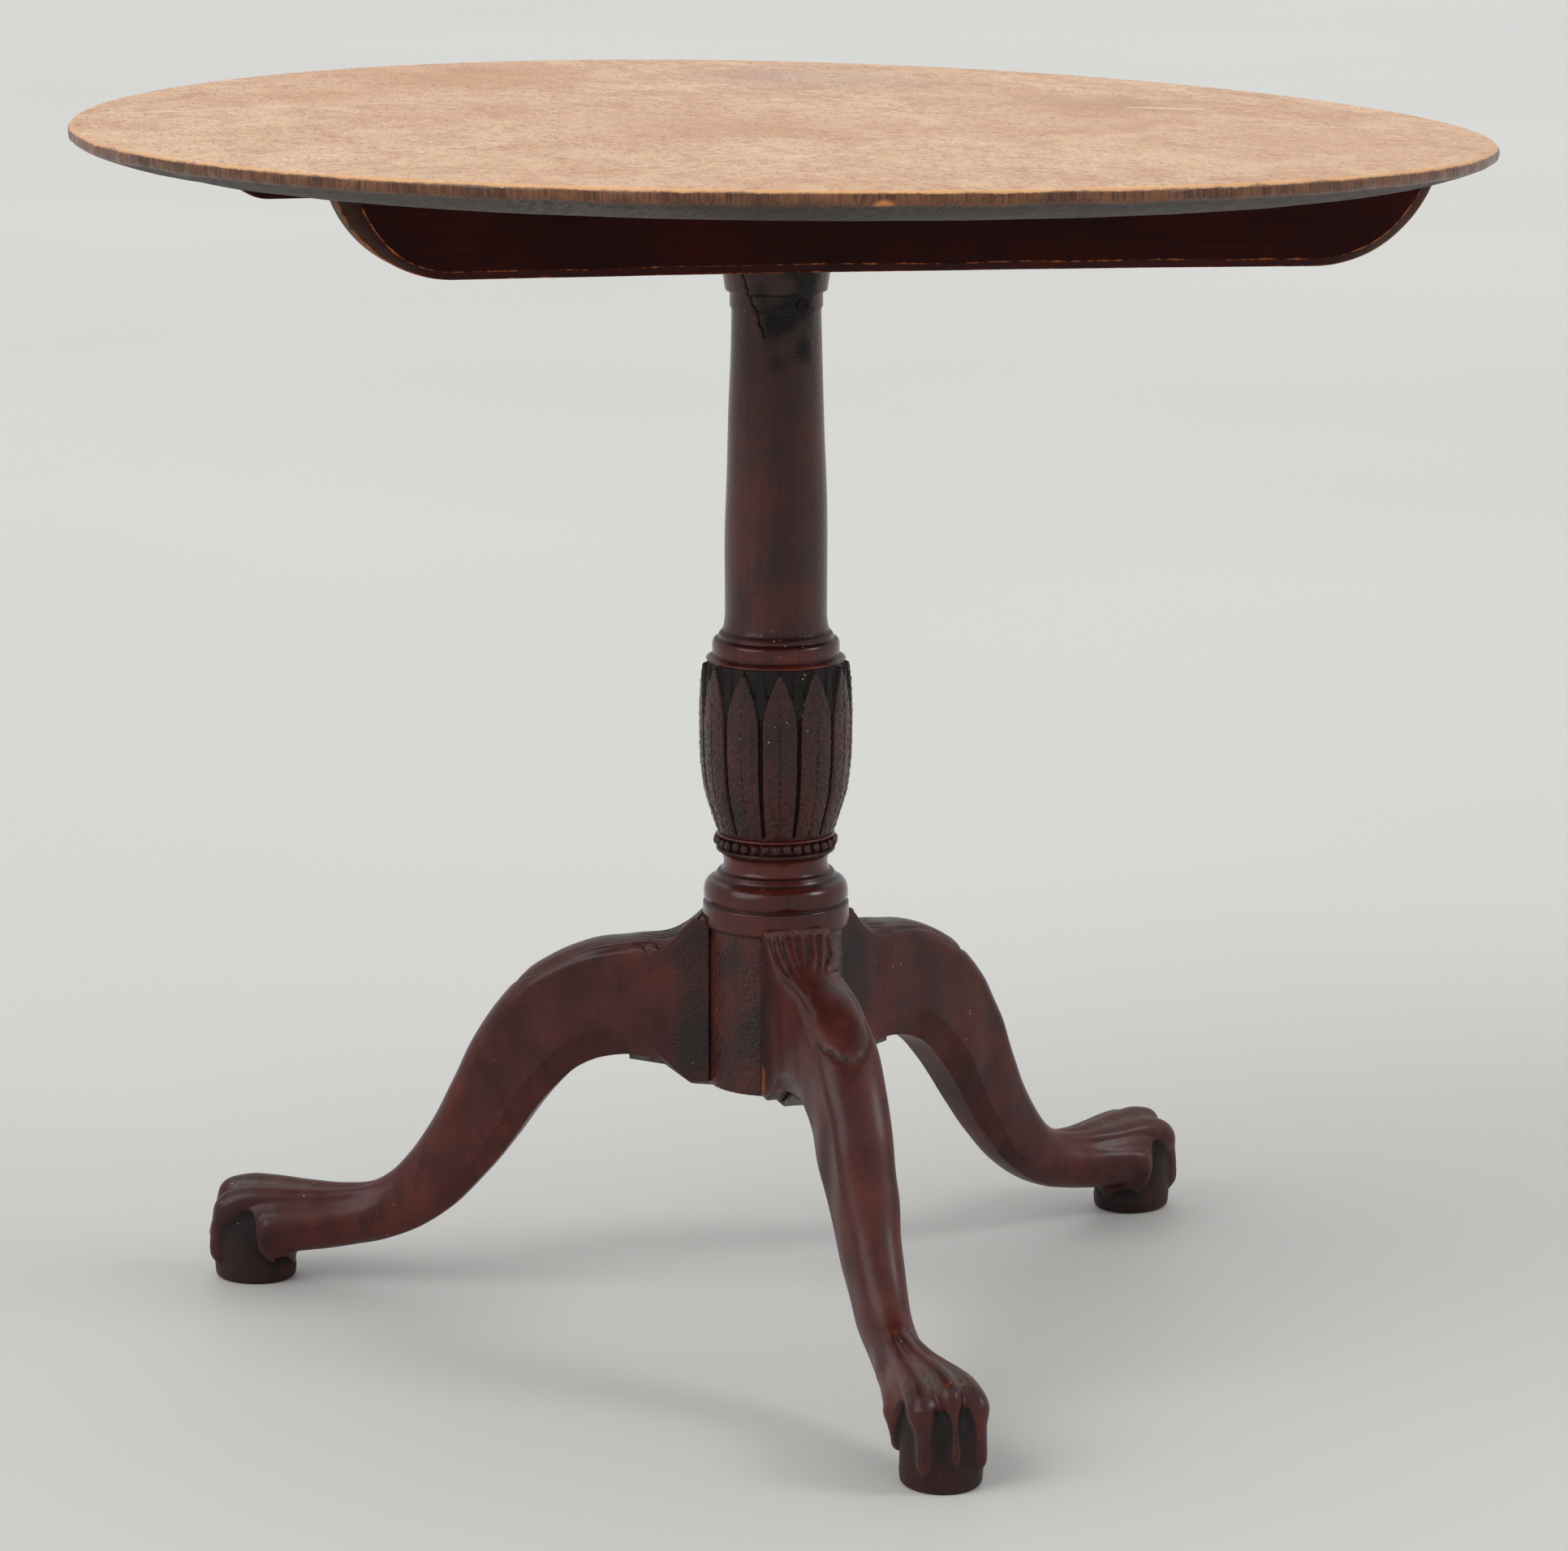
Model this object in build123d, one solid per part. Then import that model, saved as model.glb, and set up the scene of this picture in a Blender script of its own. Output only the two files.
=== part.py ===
"""Tilt-top tripod table: a round top on two bearers that pivots on a block over a turned column.

Millimetres. +Z is up, the floor is Z = 0 and the column stands on the Z axis.
X runs along the bearers, with the pivot at the -X end of the block and the bolt at its +X end.
Y runs along the pivot axis. Legs stand at 30, 150 and 270 degrees from +X.
"""
import os
from math import atan2, cos, radians, sin

from build123d import *

# ---- driving dimensions --------------------------------------------------------------------------
HEIGHT = 720.0            # floor to the top surface
TOP_RADIUS = 411.5        # round top
TOP_THICK = 22.0
RIM_HIGH = 8.0            # upright part of the rim, above the bevel
BEVEL_RUN = 60.0          # width of the bevel under the rim
RIM_ROUND = 2.5
BOARD_JOINTS = (-145.0, 135.0)   # glue lines between the three boards of the top
LEAN = 0.97               # degrees that the block, and all on it, lean down towards +X
TOP_SHIFT = 3.1           # middle of the top from the column's axis, along X

BEARER_HIGH = {-1: 55.0, 1: 30.0}    # front (-1) and rear (+1) bearer
BEARER_THICK = 28.0
BEARER_INNER = 90.0       # inner face of each bearer, from the middle plane
BEARER_FLAT = {-1: (-218.0, 290.0), 1: (-281.0, 300.0)}   # straight part of the lower edge
BEARER_TIPS = {-1: (-287.0, 365.0), 1: (-306.0, 325.0)}   # ends, at the upper edge
BEARER_CHAMFER = 5.0

BLOCK_HALF_WIDE = 89.0
BLOCK_END = 90.0          # +X end of the block
BLOCK_LOW = 646.0         # underside of the block
REST_GAP = 0.3            # play between the top's underside and the block
PIVOT_X = -75.0
PIVOT_DROP = 18.0         # pivot axis below the top's underside
PIN_RADIUS = 7.0
PIN_IN_BLOCK = 42.0
PIN_IN_BEARER = 20.0
PIN_PLAY = 0.05

TENON_RADIUS = 19.0
TENON_TOP = 697.0
WEDGE_DEEP = 32.0
WEDGE_WIDE = (1.6, 4.4)   # wedge thickness at its foot and at its head
WEDGE_PLACE = 8.0

COLUMN_FOOT = 145.0       # underside of the column
COLUMN_BASE_R = 39.8
PEG_ANGLE = 287.3         # peg in the neck ring, from +X
PEG_Z = 613.5
PEG_RADIUS = 3.5
PEG_FACE = 27.0           # outer end of the peg, from the column's axis
PEG_DEEP = 20.0           # middle of the peg before its end is cut round
LEG_ANGLES = {"front": 270.0, "right": 30.0, "left": 150.0}
FOOT_RADIUS = 329.0       # column axis to the middle of each foot pad
PAD_LONG = 50.0
PAD_WIDE = 46.0
PAD_HIGH = 22.0
LEG_THICK = 38.0
TONGUE_DEEP = 16.0
TONGUE_WIDE = (13.0, 20.0)       # dovetail tongue at its neck and at its root end
TONGUE_TOP = 226.0
JOINT_PLAY = 0.1

STAY_THICK = 3.0
STAY_WIDE = 18.0
STAY_HUB_R = 28.0
STAY_BEND = ((50.0, 145.4), (66.0, 156.0), (88.0, 158.0))   # underside of a leg, from the column out

BOLT_WIDE = 14.0
BOLT_THICK = 5.0
BOLT_LOW = 684.0
BOLT_NOSE = 93.5
BOLT_TAIL = 150.0
BOLT_TRAVEL = 14.0
KNOB_X = 125.0
PLATE_X = (92.5, 153.0)
PLATE_HALF_WIDE = 22.0
PLATE_THICK = 2.0
GUIDE_X = (96.0, 134.0)
GUIDE_LONG = 10.0
GUIDE_THICK = 2.0
STRIKE_THICK = 1.5
SLIDE_PLAY = 0.35

# ---- worked out from them ------------------------------------------------------------------------
UNDERSIDE = HEIGHT - TOP_THICK
PIVOT_Z = UNDERSIDE - PIVOT_DROP
BLOCK_TOP = UNDERSIDE - REST_GAP
BEARER_LOW = {side: UNDERSIDE - high for side, high in BEARER_HIGH.items()}
PLATE_LOW = UNDERSIDE - PLATE_THICK
BOLT_TOP = BOLT_LOW + BOLT_THICK
BOLT_MID = BOLT_LOW + BOLT_THICK / 2
# The block and everything above it are drawn level and then leaned about the column's shoulder.
HEAD = Pos(0, 0, BLOCK_LOW) * Rot(0, LEAN, 0) * Pos(0, 0, -BLOCK_LOW)


def polar(radius, degrees):
    """Plan point at a radius and an angle from +X."""
    return radius * cos(radians(degrees)), radius * sin(radians(degrees))


def box(x, y, z):
    """Box between two values along each axis."""
    solid = Box(x[1] - x[0], y[1] - y[0], z[1] - z[0], align=(Align.MIN, Align.MIN, Align.MIN))
    return Pos(x[0], y[0], z[0]) * solid


def rod(radius, low, high):
    """Upright cylinder on the Z axis."""
    return Pos(0, 0, low) * Cylinder(radius, high - low, align=(Align.CENTER, Align.CENTER, Align.MIN))


def revolved(points):
    """Solid turned about Z from (radius, height) points."""
    profile = Polyline(*[(r, 0, z) for r, z in points], close=True)
    return revolve(make_face(profile), Axis.Z)


def screw(shank, head, length):
    """Countersunk screw pointing up +Z, with its head's face at Z = 0."""
    cone = head - shank
    points = [(0, 0), (head, 0), (head, 0.6), (shank, 0.6 + cone), (shank, length - 3), (0.3, length),
              (0, length)]
    slot = box((-head, head), (-0.4, 0.4), (0, 0.9))
    return revolved(points) - slot


def screw_hole(shank, head, length):
    """Countersunk hole that a screw of the same sizes fills, with a little play."""
    cone = head - shank
    wide = head + JOINT_PLAY
    narrow = shank + JOINT_PLAY
    deep = length + 0.5
    points = [(0, -1), (wide, -1), (wide, 0.6), (narrow, 0.6 + cone), (narrow, deep), (0, deep)]
    return revolved(points)


def at_places(shape, places):
    """Copies of a shape at several locations."""
    return [place * shape for place in places]


# ---- places of the screws ------------------------------------------------------------------------
BEARER_SCREW = {-1: (2.6, 5.0, 46.0), 1: (2.6, 5.0, 41.0)}   # shank radius, head radius, length
BEARER_SCREW_X = (-185.0, -25.0, 150.0, 262.0)
COUNTERBORE_R = 6.0
COUNTERBORE_DEEP = {-1: 22.0, 1: 2.0}
PLATE_SCREW = (1.7, 3.4, 14.0)
PLATE_SCREW_PLACES = [Pos(x, y, PLATE_LOW) for x in (98.0, 147.0) for y in (-16.5, 16.5)]
STRIKE_SCREW = (1.7, 3.4, 16.0)
STRIKE_SCREW_PLACES = [Pos(BLOCK_END, y, BOLT_MID) * Rot(0, -90, 0) for y in (-14.0, 14.0)]
STAY_SCREW = (1.9, 3.8, 16.0)
STAY_SCREW_X = 78.0
HUB_SCREW_R = 18.0


def bearer_screw_places(side):
    """Screws up through one bearer into the top; side is -1 in front and +1 behind."""
    y = side * (BEARER_INNER + BEARER_THICK / 2)
    return [Pos(x, y, BEARER_LOW[side] + COUNTERBORE_DEEP[side]) for x in BEARER_SCREW_X]


def stay_screw_places():
    """One screw at the end of each arm and three in the hub, between the arms."""
    places = []
    for angle in LEG_ANGLES.values():
        x, y = polar(STAY_SCREW_X, angle)
        places.append(Pos(x, y, STAY_BEND[1][1] + 1.1 - STAY_THICK))
        x, y = polar(HUB_SCREW_R, angle + 60)
        places.append(Pos(x, y, COLUMN_FOOT - STAY_THICK))
    return places


# ---- the top -------------------------------------------------------------------------------------
def whole_top():
    """Disc with a rounded rim and a wide bevel below it."""
    low, high = UNDERSIDE, HEIGHT
    flat = TOP_RADIUS - BEVEL_RUN
    points = [(0, low), (flat, low), (TOP_RADIUS - 1, high - RIM_HIGH), (TOP_RADIUS, high - RIM_HIGH + 1),
              (TOP_RADIUS, high - RIM_ROUND), (TOP_RADIUS - RIM_ROUND, high), (0, high)]
    disc = Pos(TOP_SHIFT, 0, 0) * revolved(points)
    holes = []
    for side in (-1, 1):
        holes += at_places(screw_hole(*BEARER_SCREW[side]), bearer_screw_places(side))
    holes += at_places(screw_hole(*PLATE_SCREW), PLATE_SCREW_PLACES)
    return disc - holes


def top_boards():
    """Three boards, glued edge to edge, cut from the one disc."""
    disc = whole_top()
    edges = (-TOP_RADIUS - 5,) + BOARD_JOINTS + (TOP_RADIUS + 5,)
    names = ("top_board_left", "top_board_middle", "top_board_right")
    boards = {}
    for name, start, end in zip(names, edges[:-1], edges[1:]):
        slab = box((start, end), (-TOP_RADIUS - 5, TOP_RADIUS + 5), (UNDERSIDE - 5, HEIGHT + 5))
        boards[name] = disc & slab
    return boards


def swept_end(flat, tip, high):
    """Arc from a bearer's lower edge, tangent there, up to its tip."""
    run = abs(tip - flat)
    bend = (run ** 2 + high ** 2) / (2 * high)
    half_turn = atan2(run, bend - high) / 2
    way = 1 if tip > flat else -1
    low = UNDERSIDE - high
    middle = (flat + way * bend * sin(half_turn), 0, low + bend * (1 - cos(half_turn)))
    return ThreePointArc((flat, 0, low), middle, (tip, 0, UNDERSIDE))


def bearer(side):
    """Long batten with swept-up ends, a blind pivot hole and counterbored screw holes."""
    (left, right), (flat_left, flat_right) = BEARER_TIPS[side], BEARER_FLAT[side]
    high, low = BEARER_HIGH[side], BEARER_LOW[side]
    path = [Line((left, 0, UNDERSIDE), (right, 0, UNDERSIDE)), swept_end(flat_right, right, high),
            Line((flat_left, 0, low), (flat_right, 0, low)), swept_end(flat_left, left, high)]
    batten = extrude(make_face(Wire(path)), amount=BEARER_THICK / 2, both=True)
    outer = side * BEARER_THICK / 2
    lower = [edge for edge in batten.edges()
             if abs(edge.center().Y - outer) < 0.01 and edge.center().Z < UNDERSIDE - 5]
    batten = chamfer(lower, BEARER_CHAMFER)
    batten = Pos(0, side * (BEARER_INNER + BEARER_THICK / 2), 0) * batten
    hole = Pos(PIVOT_X, side * BEARER_INNER, PIVOT_Z) * Rot(90, 0, 0) * Cylinder(PIN_RADIUS + PIN_PLAY,
                                                                              2 * PIN_IN_BEARER + 1)
    batten -= hole
    for place in bearer_screw_places(side):
        batten -= place * rod(COUNTERBORE_R, -COUNTERBORE_DEEP[side] - 1, 0)
        batten -= place * screw_hole(*BEARER_SCREW[side])
    return batten


# ---- the block and its pivots --------------------------------------------------------------------
def pivot_pin(side):
    """Round wooden pin, glued in the block and free to turn in the bearer."""
    length = PIN_IN_BLOCK + (BEARER_INNER - BLOCK_HALF_WIDE) + PIN_IN_BEARER - 0.5
    middle = BLOCK_HALF_WIDE - PIN_IN_BLOCK + length / 2
    pin = chamfer(Cylinder(PIN_RADIUS, length).edges().filter_by(GeomType.CIRCLE), 1)
    return Pos(PIVOT_X, side * middle, PIVOT_Z) * Rot(90, 0, 0) * pin


def block():
    """Square block whose upper edge is rounded about the pivot, so the top can swing past it."""
    swing = PIVOT_DROP - REST_GAP
    start = PIVOT_X - swing
    body = box((start, BLOCK_END), (-BLOCK_HALF_WIDE, BLOCK_HALF_WIDE), (BLOCK_LOW, BLOCK_TOP))
    wide = 2 * BLOCK_HALF_WIDE + 2
    corner = box((start - 1, PIVOT_X), (-wide / 2, wide / 2), (PIVOT_Z, BLOCK_TOP + 1))
    round_end = Pos(PIVOT_X, 0, PIVOT_Z) * Rot(90, 0, 0) * Cylinder(swing, wide)
    body -= corner - round_end
    lower = body.edges().filter_by(Axis.X).group_by(Axis.Z)[0]
    body = chamfer(lower, 5)
    body -= rod(TENON_RADIUS + JOINT_PLAY, BLOCK_LOW - 1, BLOCK_TOP + 1)
    for side in (-1, 1):
        body -= pivot_pin(side)
    mortise_y = BOLT_WIDE / 2 + 1
    deep = BLOCK_END - BOLT_TRAVEL - 2
    body -= box((deep, BLOCK_END + 1), (-mortise_y, mortise_y), (BOLT_LOW - 1, BOLT_TOP + 1))
    body -= box((BLOCK_END - STRIKE_THICK, BLOCK_END + 1), (-20, 20), (BOLT_MID - 9.5, BOLT_MID + 9.5))
    return body - at_places(screw_hole(*STRIKE_SCREW), STRIKE_SCREW_PLACES)


def tenon_wedge(offset):
    """Thin wedge driven into a saw cut across the head of the tenon."""
    foot, head = WEDGE_WIDE
    low = TENON_TOP - WEDGE_DEEP
    outline = Polyline((-foot / 2, 0, low), (foot / 2, 0, low), (head / 2, 0, TENON_TOP),
                       (-head / 2, 0, TENON_TOP), close=True)
    slab = extrude(make_face(outline), amount=TENON_RADIUS, both=True)
    return (Pos(offset, 0, 0) * slab) & rod(TENON_RADIUS, low, TENON_TOP)


# ---- the column ----------------------------------------------------------------------------------
def column():
    """Turned column: tenon, flared neck, tapered shaft, urn, waisted neck and plain base."""
    outline = Polyline((0, 0, COLUMN_FOOT), (COLUMN_BASE_R, 0, COLUMN_FOOT), (COLUMN_BASE_R, 0, 242),
                       (43.4, 0, 243), (43.4, 0, 256), (41.5, 0, 256.5))
    ring_low = ThreePointArc((41.5, 0, 256.5), (43.0, 0, 262.5), (38.4, 0, 270))
    waist = Polyline((38.4, 0, 270), (34.5, 0, 274), (31.9, 0, 275))
    cove = ThreePointArc((31.9, 0, 275), (30.7, 0, 280), (31.9, 0, 285))
    bead = ThreePointArc((31.9, 0, 285), (36.7, 0, 293), (34.0, 0, 298))
    urn = Spline((34.0, 0, 298), (38.4, 0, 311), (44.0, 0, 338), (44.8, 0, 362), (43.2, 0, 399))
    ring = Polyline((43.2, 0, 399), (42.1, 0, 400), (40.9, 0, 405))
    collar = ThreePointArc((40.9, 0, 405), (39.6, 0, 411), (36.4, 0, 413))
    step = Polyline((36.4, 0, 413), (33.9, 0, 415), (33.9, 0, 417))
    spring = ThreePointArc((33.9, 0, 417), (31.5, 0, 419.2), (30.7, 0, 424))
    shaft = ThreePointArc((30.7, 0, 424), (28.9, 0, 520), (26.3, 0, 609))
    neck = Polyline((26.3, 0, 609), (27.3, 0, 610.5), (27.3, 0, 619), (29.9, 0, 620))
    flare = ThreePointArc((29.9, 0, 620), (31.8, 0, 632), (36.0, 0, BLOCK_LOW))
    shoulder = BLOCK_LOW + 1
    head = Polyline((36.0, 0, BLOCK_LOW), (36.0, 0, shoulder), (0, 0, shoulder), (0, 0, COLUMN_FOOT))
    profile = Wire(outline.edges() + [ring_low] + waist.edges() + [cove, bead, urn] + ring.edges()
                   + [collar] + step.edges() + [spring, shaft] + neck.edges() + [flare] + head.edges())
    turned = revolve(make_face(profile), Axis.Z)
    turned -= HEAD * box((-60, 60), (-60, 60), (BLOCK_LOW, BLOCK_LOW + 20))
    turned += HEAD * rod(TENON_RADIUS, BLOCK_LOW - 10, TENON_TOP)
    for offset in (-WEDGE_PLACE, WEDGE_PLACE):
        turned -= HEAD * tenon_wedge(offset)
    for angle in LEG_ANGLES.values():
        turned -= Rot(0, 0, angle) * tongue(JOINT_PLAY)
    turned -= neck_peg()
    for place in stay_screw_places()[1::2]:
        turned -= place * screw_hole(*STAY_SCREW)
    return turned


def neck_peg():
    """Small round peg let into the neck ring below the flare."""
    peg = Rot(0, 0, PEG_ANGLE) * Pos(PEG_DEEP, 0, PEG_Z) * Rot(0, 90, 0) * Cylinder(PEG_RADIUS, 20)
    return peg & rod(PEG_FACE, PEG_Z - 10, PEG_Z + 10)


# ---- the legs ------------------------------------------------------------------------------------
def tongue(play):
    """Dovetail tongue along +X, wider towards the column's axis; play widens it into its housing."""
    neck, root = TONGUE_WIDE
    near = COLUMN_BASE_R + 0.6
    far = COLUMN_BASE_R - TONGUE_DEEP
    top = TONGUE_TOP + play
    outline = Polyline((near + 2 * play, neck / 2 + play, 0), (far - play, root / 2 + play, 0),
                       (far - play, -root / 2 - play, 0), (near + 2 * play, -neck / 2 - play, 0), close=True)
    return Pos(0, 0, COLUMN_FOOT) * extrude(make_face(outline), amount=top - COLUMN_FOOT)


def leg_side():
    """Side view of a leg along +X: an arched knee, a thin ankle and a paw over its pad."""
    start = COLUMN_BASE_R - 2
    crown = Spline((start, 0, 238), (62, 0, 235), (112, 0, 226), (157, 0, 201), (187, 0, 160), (215, 0, 105),
                   (242, 0, 71), (273, 0, 62), (315, 0, 65), (343, 0, 60), (356, 0, 42))
    toe = Polyline((356, 0, 42), (355, 0, 12), (306, 0, 12))
    arch = Spline((306, 0, 12), (271, 0, 23), (230, 0, 35), (192, 0, 61), (162, 0, 98), (136, 0, 133),
                  (110, 0, 154), (STAY_BEND[2][0], 0, STAY_BEND[2][1]))
    foot = Polyline((STAY_BEND[2][0], 0, STAY_BEND[2][1]), (STAY_BEND[1][0], 0, STAY_BEND[1][1]),
                    (STAY_BEND[0][0], 0, STAY_BEND[0][1]), (start, 0, STAY_BEND[0][1]), (start, 0, 238))
    return make_face(Wire([crown] + toe.edges() + [arch] + foot.edges()))


def leg_plan():
    """Plan view of half a leg's width, from the column out to the paw, mirrored about +X."""
    half = LEG_THICK / 2
    start = COLUMN_BASE_R - 2
    stations = [(start, half), (120, half), (200, half - 3), (262, 14), (300, 21), (335, 24.5), (358, 21)]
    side = Spline(*[(x, y, 0) for x, y in stations])
    other = Spline(*[(x, -y, 0) for x, y in stations])
    ends = [Line((start, half, 0), (start, -half, 0)), Line((358, 21, 0), (358, -21, 0))]
    return make_face(Wire([side, ends[0], other, ends[1]]))


def leg():
    """One leg along +X with its paw, its foot pad and its dovetail tongue."""
    shape = extrude(leg_side(), amount=30, both=True) & extrude(leg_plan(), amount=260)
    pad = Pos(FOOT_RADIUS, 0, 0) * extrude(Ellipse(PAD_LONG / 2, PAD_WIDE / 2), amount=PAD_HIGH)
    shape -= rod(COLUMN_BASE_R + 0.15, 100, 241.9)
    return shape + pad + tongue(0)


def leg_at(angle):
    """A leg turned to its place, with the hole for the stay's screw."""
    placed = Rot(0, 0, angle) * leg()
    for place in stay_screw_places():
        placed -= place * screw_hole(*STAY_SCREW)
    return placed


def stay_plate():
    """Three-armed iron plate under the column, its arms bent up along the legs."""
    low = COLUMN_FOOT - STAY_THICK
    plate = rod(STAY_HUB_R, low, COLUMN_FOOT)
    upper = [(20, COLUMN_FOOT)] + [(x, z - 0.2) for x, z in STAY_BEND[:2]] + [(88.0, STAY_BEND[2][1] - 0.2)]
    upper.insert(1, (47.0, COLUMN_FOOT))
    lower = [(x, z - STAY_THICK) for x, z in reversed(upper)]
    outline = Polyline(*[(x, 0, z) for x, z in upper + lower], close=True)
    arm = extrude(make_face(outline), amount=STAY_WIDE / 2, both=True)
    for angle in LEG_ANGLES.values():
        plate += Rot(0, 0, angle) * arm
    for place in stay_screw_places():
        plate -= place * screw_hole(*STAY_SCREW)
    return plate


# ---- the bolt that locks the top -----------------------------------------------------------------
def bolt_plate():
    """Iron back plate screwed under the top."""
    plate = box(PLATE_X, (-PLATE_HALF_WIDE, PLATE_HALF_WIDE), (PLATE_LOW, UNDERSIDE))
    plate = chamfer(plate.edges().filter_by(Axis.Z), 4)
    return plate - at_places(screw_hole(*PLATE_SCREW), PLATE_SCREW_PLACES)


def bolt_guide(start):
    """Staple that holds the bolt against the plate and lets it slide."""
    inner = BOLT_WIDE / 2 + SLIDE_PLAY
    outer = inner + GUIDE_THICK
    low = BOLT_LOW - SLIDE_PLAY
    strap = box((start, start + GUIDE_LONG), (-outer, outer), (low - GUIDE_THICK, PLATE_LOW))
    strap = chamfer(strap.edges().filter_by(Axis.X).group_by(Axis.Z)[0], 1.2)
    return strap - box((start - 1, start + GUIDE_LONG + 1), (-inner, inner), (low, PLATE_LOW + 1))


def bolt_bar():
    """Flat sliding bar with a bevelled nose."""
    half = BOLT_WIDE / 2
    bar = box((BOLT_NOSE, BOLT_TAIL), (-half, half), (BOLT_LOW, BOLT_TOP))
    nose = bar.faces().sort_by(Axis.X)[0].edges()
    return chamfer(nose, 1.2) - Pos(KNOB_X, 0, 0) * rod(2.0, BOLT_LOW - 1, BOLT_TOP + 1)


def bolt_knob():
    """Turned knob riveted through the bar."""
    top = BOLT_LOW
    points = [(0, BOLT_TOP - 0.2), (2.0, BOLT_TOP - 0.2), (2.0, top), (4.2, top), (3.0, top - 3),
              (2.8, top - 9), (6.0, top - 11.5), (7.5, top - 15), (7.0, top - 18), (4.5, top - 20),
              (0, top - 20.5)]
    return Pos(KNOB_X, 0, 0) * revolved(points)


def leaf_spring():
    """Bowed strip between the plate and the bar, whose rubbing holds the bolt where it is put."""
    start, end = GUIDE_X[0] + GUIDE_LONG + 1, GUIDE_X[1] - 1
    middle = (start + end) / 2
    lowest = BOLT_TOP + SLIDE_PLAY
    leaf = 0.8
    lower = ThreePointArc((start, 0, PLATE_LOW), (middle, 0, lowest), (end, 0, PLATE_LOW))
    upper = ThreePointArc((start + 2, 0, PLATE_LOW), (middle, 0, lowest + leaf), (end - 2, 0, PLATE_LOW))
    caps = [Line((start, 0, PLATE_LOW), (start + 2, 0, PLATE_LOW)),
            Line((end - 2, 0, PLATE_LOW), (end, 0, PLATE_LOW))]
    return extrude(make_face(Wire([upper, lower] + caps)), amount=4, both=True)


def strike_plate():
    """Plate let into the end of the block, with the hole that the bolt enters."""
    plate = box((BLOCK_END - STRIKE_THICK, BLOCK_END), (-20, 20), (BOLT_MID - 9.5, BOLT_MID + 9.5))
    half = BOLT_WIDE / 2 + 0.6
    hole = box((BLOCK_END - 5, BLOCK_END + 5), (-half, half), (BOLT_LOW - 0.6, BOLT_TOP + 0.6))
    return plate - hole - at_places(screw_hole(*STRIKE_SCREW), STRIKE_SCREW_PLACES)


# ---- all the pieces ------------------------------------------------------------------------------
def head_nodes():
    """The block, the top and their fittings, drawn level."""
    pieces = top_boards()
    for name, side in (("front", -1), ("rear", 1)):
        pieces["bearer_" + name] = bearer(side)
        pieces["bearer_screws_" + name] = Compound(at_places(screw(*BEARER_SCREW[side]), bearer_screw_places(side)))
        pieces["pivot_pin_" + name] = pivot_pin(side)
    pieces["pivot_block"] = block()
    pieces["tenon_wedges"] = Compound([tenon_wedge(-WEDGE_PLACE), tenon_wedge(WEDGE_PLACE)])
    pieces["bolt_plate"] = bolt_plate()
    pieces["bolt_guide_front"] = bolt_guide(GUIDE_X[0])
    pieces["bolt_guide_rear"] = bolt_guide(GUIDE_X[1])
    pieces["bolt_bar"] = bolt_bar()
    pieces["bolt_knob"] = bolt_knob()
    pieces["bolt_leaf_spring"] = leaf_spring()
    pieces["bolt_plate_screws"] = Compound(at_places(screw(*PLATE_SCREW), PLATE_SCREW_PLACES))
    pieces["strike_plate"] = strike_plate()
    pieces["strike_screws"] = Compound(at_places(screw(*STRIKE_SCREW), STRIKE_SCREW_PLACES))
    return pieces


def stand_nodes():
    """The column, its legs and the iron plate under them."""
    pieces = {"column": column(), "neck_peg": neck_peg()}
    for name, angle in LEG_ANGLES.items():
        pieces["leg_" + name] = leg_at(angle)
    pieces["stay_plate"] = stay_plate()
    pieces["stay_screws"] = Compound(at_places(screw(*STAY_SCREW), stay_screw_places()))
    return pieces


def main():
    """Write one STEP file for each node."""
    os.makedirs("parts", exist_ok=True)
    shapes = {name: HEAD * shape for name, shape in head_nodes().items()}
    shapes.update(stand_nodes())
    for name, shape in shapes.items():
        export_step(shape, f"parts/{name}.step")
        print(name, len(shape.solids()), "solid", round(shape.volume / 1000, 2), "cm3")
    pivot = (HEAD * Pos(PIVOT_X, 0, PIVOT_Z)).position
    surface = (HEAD * Pos(TOP_SHIFT, 0, HEIGHT)).position
    print("pivot", pivot, "middle of the top", surface)
    boxes = [shape.bounding_box() for shape in shapes.values()]
    print("along X", min(b.min.X for b in boxes), "to", max(b.max.X for b in boxes))


main()
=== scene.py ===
# %% [markdown]
# # A tilt-top tripod table
#
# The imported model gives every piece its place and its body. Those nodes whose shape is plain
# (the block, the pins, the bolt, the iron plate) stay as they are and only get a finish. The
# carved and worn pieces are built here as surfaces and replace their plain nodes.

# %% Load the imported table
from math import cos, pi, radians, sin

import bmesh
import bpy
import numpy as np
from mathutils import Euler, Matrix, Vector


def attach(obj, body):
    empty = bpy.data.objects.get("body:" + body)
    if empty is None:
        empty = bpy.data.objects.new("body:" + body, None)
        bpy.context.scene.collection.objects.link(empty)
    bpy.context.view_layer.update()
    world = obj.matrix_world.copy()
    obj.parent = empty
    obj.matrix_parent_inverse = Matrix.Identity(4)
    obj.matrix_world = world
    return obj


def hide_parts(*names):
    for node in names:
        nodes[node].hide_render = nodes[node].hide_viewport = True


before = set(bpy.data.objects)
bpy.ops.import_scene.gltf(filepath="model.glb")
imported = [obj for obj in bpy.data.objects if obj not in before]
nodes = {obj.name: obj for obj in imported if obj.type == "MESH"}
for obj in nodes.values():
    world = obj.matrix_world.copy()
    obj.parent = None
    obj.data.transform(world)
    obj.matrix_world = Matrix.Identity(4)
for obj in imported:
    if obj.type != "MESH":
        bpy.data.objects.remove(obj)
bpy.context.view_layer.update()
MM = 0.001

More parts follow.
